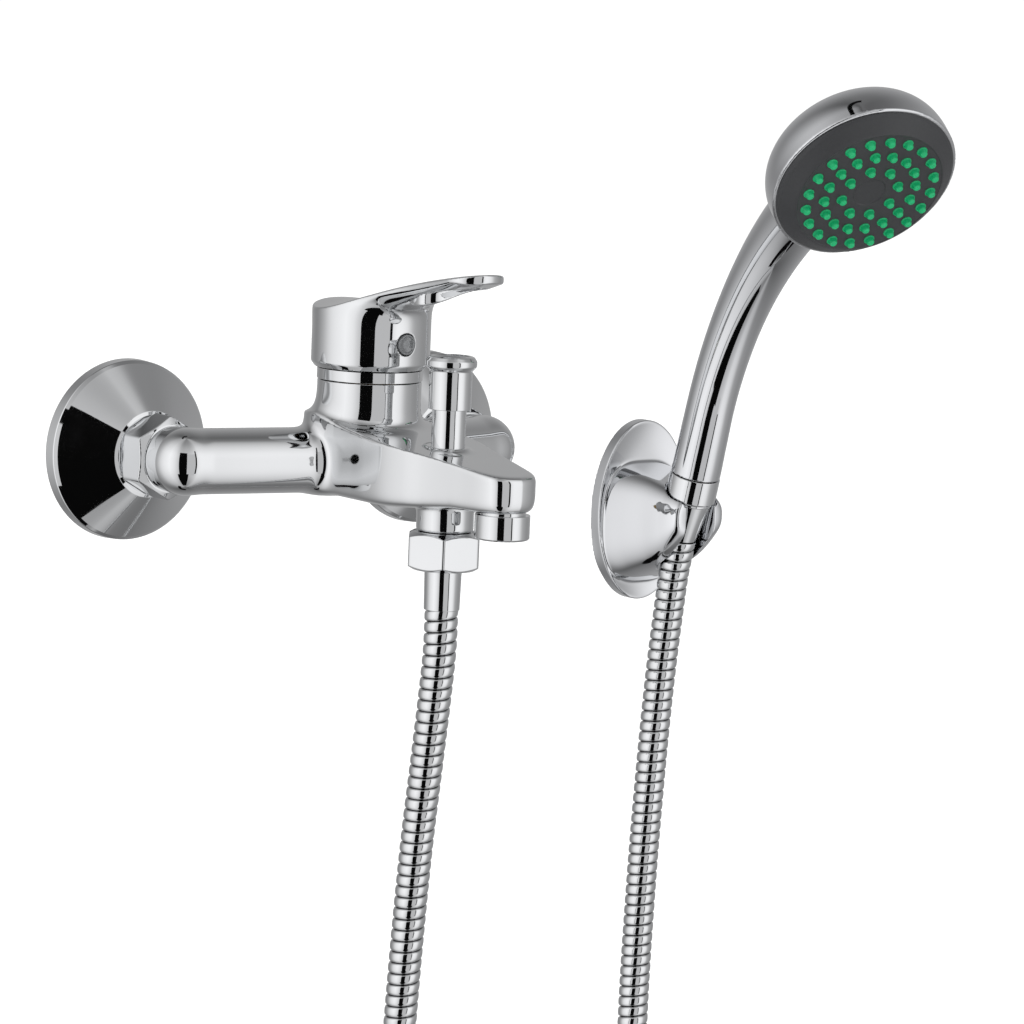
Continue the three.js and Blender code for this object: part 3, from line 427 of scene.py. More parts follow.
def finish(name, dark, light, metallic, rough, grain_mm, depth_mm=0.0, ior=None, coat=0.0,
           stretch=(1, 1, 1), subsurface=0.0):
    """A finish from two close colours mottled over a fixed wide scale of some 40 mm, a roughness
    range over grain_mm and a relief of depth_mm at the same grain. Grain sizes are real ones unless
    the caller says otherwise."""
    material = bpy.data.materials.new(name)
    material.use_nodes = True
    tree = material.node_tree
    tree.nodes.clear()
    spot = add(tree, "ShaderNodeTexCoord")
    per_grain = tuple(1000.0 / grain_mm * k for k in stretch)
    scaled = add(tree, "ShaderNodeMapping", {"Vector": spot.outputs["Object"],
                                             "Scale": per_grain})
    noise = add(tree, "ShaderNodeTexNoise", {"Vector": scaled.outputs[0], "Scale": 1.0,
                                             "Detail": 4.0, "Roughness": 0.55})
    wide = add(tree, "ShaderNodeTexNoise", {"Vector": spot.outputs["Object"], "Scale": 24.0,
                                            "Detail": 2.0})
    colour = add(tree, "ShaderNodeMix", {0: wide.outputs[0], 6: linear(dark), 7: linear(light)},
                 data_type="RGBA")
    gloss = add(tree, "ShaderNodeMapRange", {0: noise.outputs[0], 1: 0.3, 2: 0.7,
                                             3: rough[0], 4: rough[1]})
    shader = add(tree, "ShaderNodeBsdfPrincipled",
                 {"Base Color": colour.outputs[2], "Roughness": gloss.outputs[0],
                  "Metallic": metallic, "Coat Weight": coat, "Subsurface Weight": subsurface})
    if ior is not None:
        shader.inputs["IOR"].default_value = ior
    if subsurface:
        shader.inputs["Subsurface Radius"].default_value = (0.4, 1.0, 0.6)
        shader.inputs["Subsurface Scale"].default_value = 0.0015
    if depth_mm:
        relief = add(tree, "ShaderNodeBump", {"Height": noise.outputs[0], "Strength": 1.0,
                                              "Distance": depth_mm * MM})
        tree.links.new(relief.outputs[0], shader.inputs["Normal"])
    out = add(tree, "ShaderNodeOutputMaterial")
    tree.links.new(shader.outputs[0], out.inputs[0])
    return material


# Bright chrome over polished brass: a mirror a little darker than silver, with faint haze.
chromed_brass = finish("chromed_brass", "#DADBDC", "#E5E6E7", 1.0, (0.02, 0.055), 9.0)
# Chrome over moulded ABS: the same mirror, its haze varying over a coarser 14 mm grain.
chromed_abs = finish("chromed_abs", "#D8D9DB", "#E3E4E6", 1.0, (0.025, 0.06), 14.0)
# Machined brass under the plating: warm, with turning marks too fine to read singly.
turned_brass = finish("turned_brass", "#B08D4B", "#C9A867", 1.0, (0.22, 0.36), 0.8, 0.01,
                      stretch=(0.2, 1, 1))
# Turned stainless steel: screws, pin and spring.
turned_steel = finish("turned_steel", "#A9ACAF", "#C2C5C7", 1.0, (0.2, 0.34), 0.5, 0.006)
# Lapped alumina discs: off-white, close to mirror smooth.
lapped_ceramic = finish("lapped_ceramic", "#E3DDD0", "#EFEBE2", 0.0, (0.12, 0.2), 1.2, ior=1.76)
# Moulded acetal: milky white, slightly waxy.
white_acetal = finish("white_acetal", "#D6D5CF", "#E2E1DC", 0.0, (0.38, 0.5), 0.9, 0.006, 1.48,
                      subsurface=0.05)
# Moulded ABS with a fine spark-eroded texture, drawn at 0.7 mm so that it shows.
grey_abs = finish("grey_abs", "#2C2D2F", "#333437", 0.0, (0.42, 0.52), 0.7, 0.012, 1.53)
# Clear smoke polystyrene of the index plug.
smoke_plug = finish("smoke_plug", "#6E7072", "#8C8E90", 0.35, (0.1, 0.18), 2.0, 0.0, 1.59, 0.4)
# Liquid silicone of the nozzles: saturated green, soft sheen, light bleeding into it.
green_silicone = finish("green_silicone", "#009C60", "#06AC6C", 0.0, (0.34, 0.46), 0.6, 0.008, 1.43,
                        subsurface=0.08)
# Black EPDM seals.
black_epdm = finish("black_epdm", "#161617", "#232324", 0.0, (0.6, 0.75), 0.5, 0.01, 1.5)
# Pressed vulcanised fibre washers.
red_fibre = finish("red_fibre", "#5E3B2A", "#7A5039", 0.0, (0.7, 0.85), 0.6, 0.02, 1.5)


def hose_finish():
    """Chromed strip with painted shade: its colour keeps the chrome's own on the crowns and is
    mixed towards near black in the groove where two turns join.
    """
    material = chromed_brass.copy()
    material.name = "chromed_strip"
    tree = material.node_tree
    shader = next(n for n in tree.nodes if n.type == "BSDF_PRINCIPLED")
    was = shader.inputs["Base Color"].links[0].from_socket
    # Painted shade: the share stored on the hose's points mixes the colour towards near black
    # #0B0B0C.
    painted_shade_node = add(tree, "ShaderNodeAttribute", attribute_name="painted_groove_shade")
    mix = add(tree, "ShaderNodeMix", {0: painted_shade_node.outputs["Fac"], 6: was, 7: linear("#0B0B0C")},
              data_type="RGBA")
    tree.links.new(mix.outputs[2], shader.inputs["Base Color"])
    return material


chromed_strip = hose_finish()
NODE_FINISH = {"chromed_brass": chromed_brass, "chromed_plastic": chromed_abs,
               "brass": turned_brass, "steel": turned_steel, "hose_metal": chromed_strip,
               "ceramic": lapped_ceramic, "white_plastic": white_acetal, "grey_plastic": grey_abs,
               "green_silicone": green_silicone, "rubber": black_epdm, "fibre": red_fibre}


# ---- hose -----------------------------------------------------------------------------------
def shower_hose():
    """Double interlock strip wound round the hose's line: a ribbon whose turns join edge to edge.
    At winding angle v and share k of a turn the point lies on the line at (v + k) pitches, at
    angle v round it, and at the strip's height for k."""
    pitch, around = 4.6, 26
    k = np.array([0, .03, .07, .13, .24, .4, .56, .72, .84, .91, .96])
    height = np.array([5.5, 5.9, 6.32, 6.56, 6.72, 6.78, 6.78, 6.72, 6.56, 6.3, 5.9])
    # Painted shade along the strip's profile: 1 in the groove between two turns, falling to 0 on
    # the crown.
    painted_groove_shade = np.array([1, .7, .1, 0, 0, 0, 0, 0, 0, .1, .7])
    line, s = even(through(HOSE_ROUTE), 1.0)
    lead = line[0] + (line[0] - line[1]) / np.linalg.norm(line[0] - line[1]) * 4.0
    line = np.vstack([lead, line])
    s = np.concatenate([[-4.0], s])
    turns = int((s[-1] - s[0]) / pitch)
    v = np.arange(turns * around + 1) / around
    at = s[0] + (v[:, None] + k[None, :]) * pitch
    centre = np.stack([np.interp(at, s, line[:, j]) for j in range(3)], 2)
    way = np.gradient(line, s, axis=0)
    tangent = np.stack([np.interp(at, s, way[:, j]) for j in range(3)], 2)
    tangent /= np.linalg.norm(tangent, axis=2)[..., None]
    side = np.array([0, 1.0, 0]) - tangent[..., 1:2] * tangent
    side /= np.linalg.norm(side, axis=2)[..., None]
    other = np.cross(tangent, side)
    a = v[:, None, None] * TAU
    points = centre + height[None, :, None] * (np.cos(a) * side + np.sin(a) * other)
    n, m = points.shape[:2]
    index = np.arange(n * m).reshape(n, m)
    after = index[around:, 0]
    inner = np.stack([index[:-1, :-1], index[:-1, 1:], index[1:, 1:], index[1:, :-1]],
                     -1).reshape(-1, 4)
    join = np.stack([index[:len(after) - 1, -1], after[:-1], after[1:],
                     index[1:len(after), -1]], -1)
    faces = np.vstack([inner, join])[:, ::-1]
    made = mesh_piece("shower_hose", points.reshape(-1, 3), faces, chromed_strip, None,
                      attributes={"painted_groove_shade": np.broadcast_to(painted_groove_shade, (n, m)).ravel()})
    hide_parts("shower_hose")
    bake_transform(made)


# ---- mixer body -----------------------------------------------------------------------------
def spout_half(y):
    """Half width of the body in plan at a depth."""
    return eased(-y, [40, 66, 86, 96, 106, 118, 127, 142, 157, 170],
                     [21, 22.4, 23.2, 23.6, 23.2, 21.0, 18.4, 15.2, 12.8, 12.3])


def body_field(p):
    """Housing, spout and arms run into each other with fillets; the spout's top is a sloping flat
    with a crisp edge, and the cartridge bore is cut out."""
    x, y, z = p.T
    arms = None
    for side in (-1, 1):
        a = np.array([INLET_X * side, -45.5, 0])
        elbow = rod(p, a + (0, 20, 0), a, ARM_R)
        elbow = soft_max(elbow, y + 36.4, 0.8)
        one = soft_min(elbow, rod(p, a, (0, -62.0, 0), ARM_R), 2.5)
        arms = one if arms is None else np.minimum(arms, one)
    half = spout_half(y)
    tip = soft_max(np.abs(x) - half, SPOUT_TIP_Y - y, 20.0)
    plan = soft_max(tip, y + 43.5, 24.0)
    floor = eased(-y, [90, 105, 120, 140], [-13.3, -13.2, -12.2, -10.6])
    top = eased(-y, [60, 96, 168], [18.2, 13.7, 4.7])
    spout = soft_max(plan, floor - z, 9.0)
    roof = (z - top) * 0.99
    column = upright(p, 0, HOUSING_Y, HOUSING_R)
    mass = soft_min(spout, arms, 8.0)
    flat = soft_max(mass, roof, eased(-y, [140, 164], [1.4, 4.0]))
    seat = np.hypot(x, y - OUTLET_Y) - np.interp(z, [4, 11.4], [9.6, 7.8])
    flat = soft_min(flat, soft_max(seat, z - 11.1, 0.8), 5.0)
    tower = soft_max(column, top - 3.0 - z, 3.0)
    rear = np.clip((-y - 62.0) / 12.0, 0.0, 1.0)
    whole = soft_min(flat, tower, 14.0 - 5.0 * rear)
    boss = soft_max(upright(p, 0, OUTLET_Y, 11.5), -21.9 - z, 2.2)
    boss = soft_max(boss, z, 2.0)
    whole = soft_min(whole, boss, 2.5)
    whole = soft_max(whole, z - 32.9, 0.8)
    bore = soft_max(upright(p, 0, HOUSING_Y, 18.2), 8.0 - z, 0.8)
    return soft_max(whole, -bore, 0.8)


def mixer_body():
    """Skin of body_field, cut finer where the elbows meet their faces and at the housing's rim."""
    axes = (steps(-90, 90, 0.85), steps(-170, -33, 0.85, [(-38, -35, 0.5)]),
            steps(-23.5, 34.5, 0.85, [(31.5, 33.9, 0.4)]))
    points, faces, normals = skin(body_field, axes)
    return mesh_piece("mixer_body", points, faces, chromed_brass, "mixer",
                      ["mixer_body"], normals)


# ---- lever ----------------------------------------------------------------------------------
def lever_top(y):
    """Height of the lever's top line at a depth."""
    return eased(-y, [30, 41, 50, 60, 70, 84, 97, 110, 123, 136, 147],
                     [64.4, 64.5, 64.8, 65.5, 67.0, 70.4, 73.7, 76.6, 79.1, 81.1, 82.2])


def lever_field(p):
    """Cap and blade: the plan outline under a rising top, a boat-shaped underside that runs down
    into the cap's front, a scoop under the blade and the hollow of the cap."""
    x, y, z = p.T
    crown = 0.006 * x ** 2
    top = z - (lever_top(y) - crown)
    cap = upright(p, 0, HOUSING_Y, CAP_R)
    half = eased(-y, [62, 80, 92, 105, 118, -BLADE_END_Y],
                 [19.5, 18.8, 16.4, 14.0, 12.9, BLADE_END_R])
    end = np.hypot(x, y - BLADE_END_Y) - BLADE_END_R
    blade = np.where(y < BLADE_END_Y, end, soft_max(np.abs(x) - half, y + 62, 4.0))
    outline = soft_min(blade, cap, 5.0)
    thick = eased(-y, [90, 110, 125, 136, 144], [8.2, 8.0, 7.0, 5.4, 3.4])
    hull = (lever_top(y) - thick + 0.62 * thick * np.clip(np.abs(x) / half, 0, 1.2) ** 3) - z
    under = soft_min(hull, cap, 10.0)
    whole = soft_max(soft_max(outline, top, 1.4), under, 1.0)
    cone = np.hypot(x, y - HOUSING_Y) - np.interp(z, [37, 41, 42], [21.7, 24.7, 90.0])
    whole = soft_max(soft_max(whole, 37.9 - z, 0.6), cone, 0.6)
    inner = np.hypot(x / np.maximum(half - 3.2, 2), (y + 117) / 19.5)
    scoop = soft_max((inner - 1) * 7.0, z - (lever_top(y) - 2.6), 1.5)
    whole = soft_max(whole, -scoop, 1.0)
    well = soft_max(upright(p, 0, HOUSING_Y, 22.0), z - 53.0, 3.0)
    core = soft_max(upright(p, 0, HOUSING_Y, 7.4), 46.5 - z, 0.8)
    whole = soft_max(whole, -soft_max(well, -core, 0.8), 0.8)
    socket = soft_max(np.hypot(x, z - PLUG_Z) - 4.5, y - HOUSING_Y + 20.8, 0.5)
    return soft_max(whole, -socket, 0.6)


def lever():
    """Skin of lever_field, cut finer round the index plug and at the cap's lower edge."""
    axes = (steps(-27, 27, 0.7), steps(-146, -39, 0.7, [(-92, -85, 0.45)]),
            steps(36.5, 85, 0.7, [(37.2, 41, 0.4)]))
    points, faces, normals = skin(lever_field, axes)
    return mesh_piece("handle", points, faces, chromed_brass, "lever",
                      ["handle"], normals)


# ---- lathe pieces of the mixer ----------------------------------------------------------------
def hex_nut(across, z0, z1, bore, barrel=1.2, lift=1.6):
    """Hexagon nut: at angle a its reach is the hexagon's, softly limited by a barrel that is
    cut back by a chamfer at both ends."""
    sides = 240
    a = np.arange(sides) / sides * TAU
    flat = across / 2
    six = flat / np.cos((a + math.pi / 6) % (math.pi / 3) - math.pi / 6)
    corner = flat / math.cos(math.pi / 6)
    tall, ease = z1 - z0, lift * 1.6
    t = np.concatenate([np.linspace(0, ease, 12), np.linspace(ease, tall - ease, 6)[1:-1],
                        np.linspace(tall - ease, tall, 12)])
    near = np.minimum(t, tall - t)
    limit = corner - 0.25 + np.minimum(near - lift, 0) * ((corner - flat + barrel) / lift)
    r = soft_min(six[None, :], limit[:, None], 0.35)
    mouth, lip = np.full((1, sides), bore), np.full((1, sides), bore + 0.05)
    heights = np.concatenate([[z0 + 0.3], [z0], z0 + t, [z1], [z1 - 0.3]])
    r = np.vstack([mouth, lip, r, lip, mouth])
    points = np.stack([r * np.cos(a), r * np.sin(a), np.broadcast_to(heights[:, None], r.shape)], 2)
    faces = grid_faces(len(r), sides, closed_rows=True)
    return points.reshape(-1, 3), faces, None


def mixer_fittings():
    """Covers, hexagon nuts and the turned pieces, each from its profile of radius and height."""
    cover = turned([(32.6, 0), (34.0, 0, .2), (37.0, 0, .3), (36.7, 5.2, .9), (35.4, 6.5, .5),
                    (17.6, 21.0, 1.0), (16.2, 21.5, .5), (14.0, 21.5, .3), (14.0, 18.6, .3),
                    (16.0, 18.4, .6), (32.6, 4.0, .5), (32.6, 0)], 160)
    for side, label in ((-1, "left"), (1, "right")):
        shape = placed(cover, (INLET_X * side, 0, 0), ON_WALL)
        mesh_piece(f"escutcheon_{label}", shape[0], shape[1], chromed_brass, "mixer",
                   [f"escutcheon_{label}"], shape[2])
        nut = hex_nut(30, 21.7, 36.1, 10.9, lift=1.8)
        points = nut[0] @ ON_WALL.T + np.array([INLET_X * side, 0, 0])
        mesh_piece(f"union_nut_{label}", points, nut[1], chromed_brass, "mixer",
                   [f"union_nut_{label}"])
    nut = hex_nut(28, -37.4, -22.1, 7.6, lift=1.9)
    mesh_piece("hose_nut", nut[0] @ about_z(math.radians(21.6)).T + (0, OUTLET_Y, 0), nut[1],
               chromed_brass, "mixer", ["hose_nut"])
    lathe = [
        ("trim_ring", HOUSING_Y, "mixer", chromed_brass, "chromed_brass", 128,
         [(18.8, 33.2), (21.4, 33.2, .25), (21.4, 37.55, .35), (20.9, 37.9, .3), (20.3, 39.2, .3),
          (19.0, 41.7, 8), (16.6, 44.9, .4), (15.5, 44.4, .3), (18.6, 40.0, 6), (18.8, 33.2)]),
        ("diverter_knob", OUTLET_Y, "diverter", chromed_brass, "chromed_brass", 96,
         [(7.2, 39.0), (7.2, 26.6, .2), (8.55, 26.6, .35), (8.55, 41.9, 1.0), (9.5, 42.9, .6),
          (10.3, 43.9, 1.2), (10.3, 45.9, 1.4), (9.2, 47.5, 1.0), (8.0, 47.9, .7),
          (7.0, 47.1, 1.5), (0, 46.4)]),
        ("diverter_sleeve", OUTLET_Y, "mixer", chromed_brass, "chromed_brass", 96,
         [(2.6, 4.3), (5.5, 4.3, .2), (5.5, 11.3, .2), (6.8, 11.3, .25), (6.8, 36, .3),
          (2.6, 36, .2), (2.6, 4.3)]),
        ("aerator_housing", AERATOR_Y, "mixer", chromed_brass, "chromed_brass", 128,
         [(7.6, -18.4), (7.6, -20.5, .2), (10.3, -20.5, .5), (10.9, -19.8, .5), (10.9, -10.8, .2),
          (9.1, -10.8, .2), (9.1, -4.4, .2), (7.9, -4.4, .2), (7.9, -18.2, .2), (7.6, -18.4)]),
        ("hose_ferrule", OUTLET_Y, "mixer", chromed_brass, "chromed_brass", 96,
         [(5.9, -37.7), (5.9, -53.7, .3), (7.15, -53.7, .45), (7.45, -38.2, 1), (7.3, -37.7, .25),
          (5.9, -37.7)]),
    ]
    for name, y, body, material, slot, sides, profile in lathe:
        points, faces, normals = placed(turned(profile, sides), (0, y, 0))
        mesh_piece(name, points, faces, material, body, [name], normals)
    plug = turned([(0, 0), (1.7, 0, .2), (1.7, 2.4, .3), (4.1, 2.4, .3), (4.1, 4.6, .35),
                   (3.5, 4.9, .3), (3.1, 4.3, .3), (1.6, 3.8, 1.5), (0, 3.9)], 72)
    points, faces, normals = placed(plug, (0, HOUSING_Y - 20.0, PLUG_Z), ON_WALL)
    mesh_piece("index_plug", points, faces, smoke_plug, "lever", ["index_plug"],
               normals)


def diverter_spring():
    """Wire of 0.6 mm round the coil (4.6 cos a, 4.6 sin a, -8.5 + 10.3 a / 7 pi), a from 0 to
    7 pi, set round the outlet's axis."""
    a = np.linspace(0, 7 * math.pi, 169)
    b = np.arange(12) / 12 * TAU
    out = np.stack([np.cos(a), np.sin(a), np.zeros_like(a)], 1)
    line = out * 4.6 + np.stack([0 * a, 0 * a + OUTLET_Y, -8.5 + 10.3 * a / (7 * math.pi)], 1)
    points = (line[:, None] + 0.3 * (np.cos(b)[None, :, None] * out[:, None]
                                     + np.sin(b)[None, :, None] * np.array([0, 0, 1.0])))
    faces = grid_faces(len(a), len(b))[:, ::-1]
    made = mesh_piece("diverter_spring_coil", points.reshape(-1, 3), faces, turned_steel, None)
    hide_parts("diverter_spring")
    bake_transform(made)


# ---- wall holder ------------------------------------------------------------------------------
def holder_field(p):
    """Oval dished plate and the two cheeks round the handset's cone, with the slot for the hose
    cut between them."""
    x, y, z = p[:, 0] - BRACKET[0], p[:, 1], p[:, 2]
    oval = np.hypot(x / 25.4, (z - BRACKET[1]) / 40.1)
    rim = (oval - 1) * 29.0
    dish = 4.0 + 2.2 * np.clip((oval - 0.55) / 0.45, 0, 1) ** 2
    plate = soft_max(rim, -dish - y, 1.6)
    out = -y
    w = eased(out, [0, 3, 8, 16, 26, 35, 41, 46], [24, 23.4, 22.4, 20.6, 18.2, 16.2, 14.6, 12.6])
    hi = eased(out, [0, 8, 16, 26, 35, 41, 46], [-15, -15.6, -16.8, -19, -22, -24.6, -28])
    lo = eased(out, [0, 8, 16, 26, 35, 41, 46], [-70, -68.4, -65, -60, -54, -48, -42])
    mid, tall = (hi + lo) / 2, (hi - lo) / 2
    egg = (np.abs(x / w) ** 2.7 + np.abs((z - mid) / tall) ** 2.7) ** (1 / 2.7)
    cheeks = soft_max((egg - 1) * np.minimum(w, tall), out - 45.0, 2.5)
    cheeks = soft_max(cheeks, z - eased(out, [0, 45], [-14.0, -26.0]), 1.0)
    whole = soft_min(plate, cheeks, 2.2)
    whole = soft_max(whole, y, 0.6)
    q = (p - SEAT) @ ON_LEAN
    reach = np.hypot(q[:, 0], q[:, 1])
    bowl = soft_max(reach - eased(q[:, 2], [-32, -14.9, -14.5, 6], [7.0, 10.4, 11.9, 11.9]),
                    -q[:, 2] - 46, 0.6)
    bowl = soft_max(bowl, q[:, 2] - 8, 0.6)
    slot = soft_max(np.abs(q[:, 0]) - HOSE_WAY, q[:, 1], 0.8)
    cone_foot, hose_below = SEAT + ON_LEAN @ np.array([0, 0, -34.5]), (BRACKET[0], -24, -86)
    tunnel = rod(p, cone_foot, hose_below, HOSE_WAY)
    hollow = np.minimum(np.minimum(bowl, slot), tunnel)
    whole = soft_max(whole, -hollow, 0.9)
    behind = soft_max((oval - 0.915) * 29.0, -3.2 - y, 0.8)
    return soft_max(whole, -behind, 0.8)


def wall_holder():
    """Skin of holder_field, cut finer at the plate's rim."""
    axes = (steps(171, 226, 0.62), steps(-48, 1.4, 0.62, [(-6.6, 0.6, 0.4)]), steps(-79, 5, 0.62))
    points, faces, normals = skin(holder_field, axes)
    return mesh_piece("bracket_holder", points, faces, chromed_abs, "mixer",
                      ["bracket_holder"], normals)


# ---- handset ----------------------------------------------------------------------------------
def handset_field(p):
    """Handle: a bar of varying radius on a straight start and an arc; head: a deep round dome.
    They meet in a soft shoulder, and the head's front is recessed for the spray face."""
    e, s, t = p[:, 0], -p[:, 1], p[:, 2]
    bend = 165.0
    angle = np.clip(np.arctan2(t - 25.0, bend - s), 0, math.radians(50))
    cs, ct = bend * (1 - np.cos(angle)), 25.0 + bend * np.sin(angle)
    level = np.where(t < 25.0, t, 25.0 + bend * angle)
    flat = np.where(t < 25.0, s, (s - cs) * np.cos(angle) - (t - ct) * np.sin(angle))
    ahead = np.where(t < 25.0, 0, (s - cs) * np.sin(angle) + (t - ct) * np.cos(angle))
    r = eased(level, [-3, 0, 12, 30, 52, 75, 97, 117, 140, 170],
                  [10.9, 10.9, 10.7, 10.5, 10.7, 11.1, 11.8, 12.6, 13.6, 15])
    bar = np.sqrt(flat ** 2 + e ** 2 + np.maximum(ahead, 0) ** 2) - r
    bar = soft_max(bar, -2.3 - t, 0.6)
    n = np.array([0, -math.sin(math.pi / 2 + FACE_TILT), math.cos(math.pi / 2 + FACE_TILT)])
    d = p - np.array([0, -FACE_S, FACE_T])
    front = d @ n
    q = np.sqrt(np.maximum((d ** 2).sum(1) - front ** 2, 0))
    v = np.maximum(-front - HEAD_RIM, 0) / (HEAD_DEPTH - HEAD_RIM)
    dome = (((q / HEAD_R) ** 2.5 + v ** 2.5) ** 0.4 - 1) * 32.0
    head = soft_max(dome, front, 1.2)
    cut = soft_max(bar, front + 6 - 2.0 * np.maximum(q - 45.0, 0), 2.0)
    return soft_min(head, cut, 9.0)


def handset_shell():
    """Skin of handset_field, put into the holder on its leaning axis."""
    axes = (steps(-43, 43, 0.9), steps(-125, 18, 0.9), steps(-4, 203, 0.9, [(-3.2, -1.2, 0.45)]))
    points, faces, normals = skin(handset_field, axes, 2)
    shape = placed((points, faces, normals), SEAT, ON_HANDSET)
    return mesh_piece("handset_shell", shape[0], shape[1], chromed_abs, "handset",
                      ["handset_shell"], shape[2])


# Nozzle rings: radius, how many, and the first one's place as a share of the spacing.
NOZZLES = ((27.8, 20, 0.34), (20.0, 16, 0.8), (12.2, 8, 0.52))


def spray_face():
    """Face plate, the nozzle tips on their rings, and the conical nut at the handle's foot."""
    face = turned([(0, -2.0), (38.4, -2.0, .3), (38.6, 0.6, .5), (37.6, 1.7, 1.2), (33.0, 5.5, 1.2),
                   (32.2, 6.1, .35), (31.7, 6.35, .3), (31.3, 6.1, .2), (30.9, 6.1, .3),
                   (7.2, 6.1, .3), (6.7, 5.7, .4), (0, 5.6)], 200)
    points, faces, normals = placed(face, FACE_AT, FACE_TURN)
    mesh_piece("face_plate", points, faces, grey_abs, "handset", ["face_plate"],
               normals)
    tip = turned([(2.3, 5.4), (2.3, 6.35, .3), (1.95, 6.6, .3), (1.45, 8.6, .8), (0, 8.9)], 20, 4)
    spots = np.concatenate([
        np.stack([ring * np.cos((np.arange(count) + shift) / count * TAU),
                  ring * np.sin((np.arange(count) + shift) / count * TAU), np.zeros(count)], 1)
        for ring, count, shift in NOZZLES])
    points = (tip[0][None] + spots[:, None]).reshape(-1, 3)
    faces = (tip[1][None] + (np.arange(len(spots)) * len(tip[0]))[:, None, None]).reshape(-1, 4)
    normals = np.tile(tip[2], (len(spots), 1))
    points, faces, normals = placed((points, faces, normals), FACE_AT, FACE_TURN)
    mesh_piece("nozzle_mat", points, faces, green_silicone, "handset",
               ["nozzle_mat"], normals)
    cone = turned([(5.0, -27.0), (5.0, -32.5, .2), (6.4, -32.5, .4), (9.8, -14.3, .4),
                   (10.3, -13.6, .3), (11.1, -13.3, .35), (11.1, -2.7, .35), (9.9, -2.6, .2),
                   (9.9, -15, .3), (7.2, -17.6, .3), (5.0, -27.0)], 96)
    points, faces, normals = placed(cone, SEAT, ON_LEAN)
    mesh_piece("cone_nut", points, faces, chromed_brass, "hose_end",
               ["cone_nut"], normals)


# ---- studio -----------------------------------------------------------------------------------
def surround():
    """What only the polished metal shows: a sphere whose glow is level(turn) * fall(height), two
    eased curves, and crisp boards in front of it. A board's row is the turn about Z from +X
    (from, to), the height angle (from, to), in degrees, and its glow."""
    glowing = bpy.data.materials.new("board_glow")
    glowing.use_nodes = True
    tree = glowing.node_tree
    tree.nodes.clear()
    level = add(tree, "ShaderNodeAttribute", attribute_name="glow")
    lamp = add(tree, "ShaderNodeEmission", {"Color": linear("#FEFEFF"),
                                            "Strength": level.outputs["Fac"]})
    out = add(tree, "ShaderNodeOutputMaterial")
    tree.links.new(lamp.outputs[0], out.inputs[0])
    rows = [("sky", (-180, 180, -89.5, 89.5, None), 180)]
    rows += [(f"board_{i}", row, 20) for i, row in enumerate(BOARDS)]
    for number, (name, (a0, a1, e0, e1, glow), fine) in enumerate(rows):
        turn, rise = np.meshgrid(np.linspace(a0, a1, fine + 1), np.linspace(e0, e1, fine + 1),
                                 indexing="ij")
        if glow is None:
            shade = eased(turn, *SKY_TURN) * eased(rise, *SKY_RISE)
        else:
            shade = np.full(turn.shape, glow)
        a, e = np.radians(turn), np.radians(rise)
        points = (4200.0 - 50.0 * number) * np.stack(
            [np.cos(e) * np.cos(a), np.cos(e) * np.sin(a), np.sin(e)], 2)
        board = mesh_piece(name, points.reshape(-1, 3) + [60.0, -80.0, 0.0],
                           grid_faces(fine + 1, fine + 1, closed_columns=False), glowing, None,
                           attributes={"glow": shade.ravel()})
        board.visible_camera = False
        board.visible_diffuse = False
        board.visible_shadow = False


SKY_TURN = ([-180, -162, -147, -120, -88, -75, -55, -38, -20, 0, 30, 60, 80, 100, 125, 150, 180],
            [1.2, 1.02, 0.72, 0.7, 0.95, 1.15, 1.0, 0.55, 0.4, 0.34, 0.4, 0.42, 0.36, 0.3, 0.5,
             0.95, 1.2])
SKY_RISE = ([-90, -72, -45, -25, 0, 20, 45, 68, 90],
            [0.34, 0.5, 0.78, 0.94, 1.0, 1.0, 0.8, 0.5, 0.38])
BOARDS = [
    (-147, -120, -80, 34, 0.003),
    (-120, -91, -40, 30, 0.62),
    (-91, -86, -34, 40, 0.003),
    (-154, -113, -80, -36, 0.003),
    (50, 160, 78, 82, 0.003),
    (50, 160, -81, -74, 0.003),
]


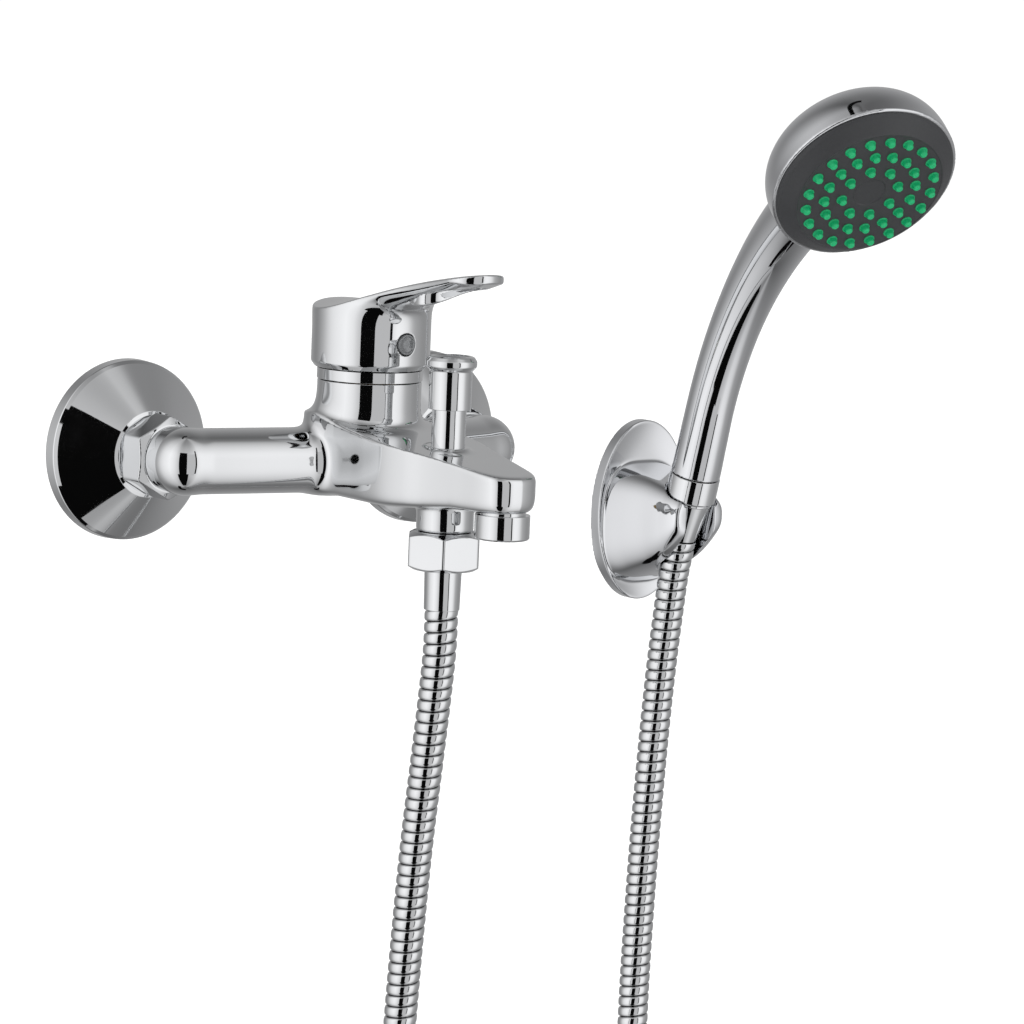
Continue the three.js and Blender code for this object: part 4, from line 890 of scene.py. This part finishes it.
def studio():
    """Pale floor, a white world, one soft top light, and what the metal shows round it. The
    world's own grey ramp is left for the two small holes at the poles of that sphere."""
    scene = bpy.context.scene
    scene.view_settings.view_transform = "Standard"
    world = bpy.data.worlds.new("studio")
    scene.world = world
    world.use_nodes = True
    tree = world.node_tree
    tree.nodes.clear()
    path = add(tree, "ShaderNodeLightPath")
    spot = add(tree, "ShaderNodeTexCoord")
    height = add(tree, "ShaderNodeSeparateXYZ", {0: spot.outputs["Generated"]})
    ramp = add(tree, "ShaderNodeMapRange", {0: height.outputs[2], 1: -1.0, 2: 1.0,
                                            3: 0.20, 4: 0.60})
    around = add(tree, "ShaderNodeBackground", {0: linear("#F7F7F7"), 1: ramp.outputs[0]})
    seen = add(tree, "ShaderNodeBackground", {0: linear("#FFFFFF"), 1: 1.05})
    mix = add(tree, "ShaderNodeMixShader", {0: path.outputs["Is Glossy Ray"],
                                            1: seen.outputs[0], 2: around.outputs[0]})
    out = add(tree, "ShaderNodeOutputWorld")
    tree.links.new(mix.outputs[0], out.inputs[0])
    pale = finish("pale_floor", "#F8F8F8", "#FCFCFC", 0.0, (0.8, 0.9), 30.0)
    corners = np.array([(-9000, -9000, -700), (9000, -9000, -700), (9000, 9000, -700),
                        (-9000, 9000, -700)], float)
    floor = mesh_piece("studio_floor", corners, [(0, 1, 2, 3)], pale, None)
    floor.visible_glossy = False
    data = bpy.data.lights.new("top_light", "SUN")
    data.energy, data.angle = 0.9, math.radians(40)
    lamp = bpy.data.objects.new("top_light", data)
    lamp.rotation_euler = (math.radians(-14), math.radians(-10), 0)
    lamp.visible_glossy = False
    scene.collection.objects.link(lamp)
    surround()


# ---- build --------------------------------------------------------------------------------------
set_camera()
shower_hose()
slots = {row["node"]: row["material_slot"] for row in frame["record"]["subparts"]}
for node_name, cad_node in frame["nodes"].items():
    cad_node.data.materials.clear()
    cad_node.data.materials.append(NODE_FINISH[slots[node_name]])
mixer_body()
lever()
mixer_fittings()
diverter_spring()
wall_holder()
handset_shell()
spray_face()
studio()
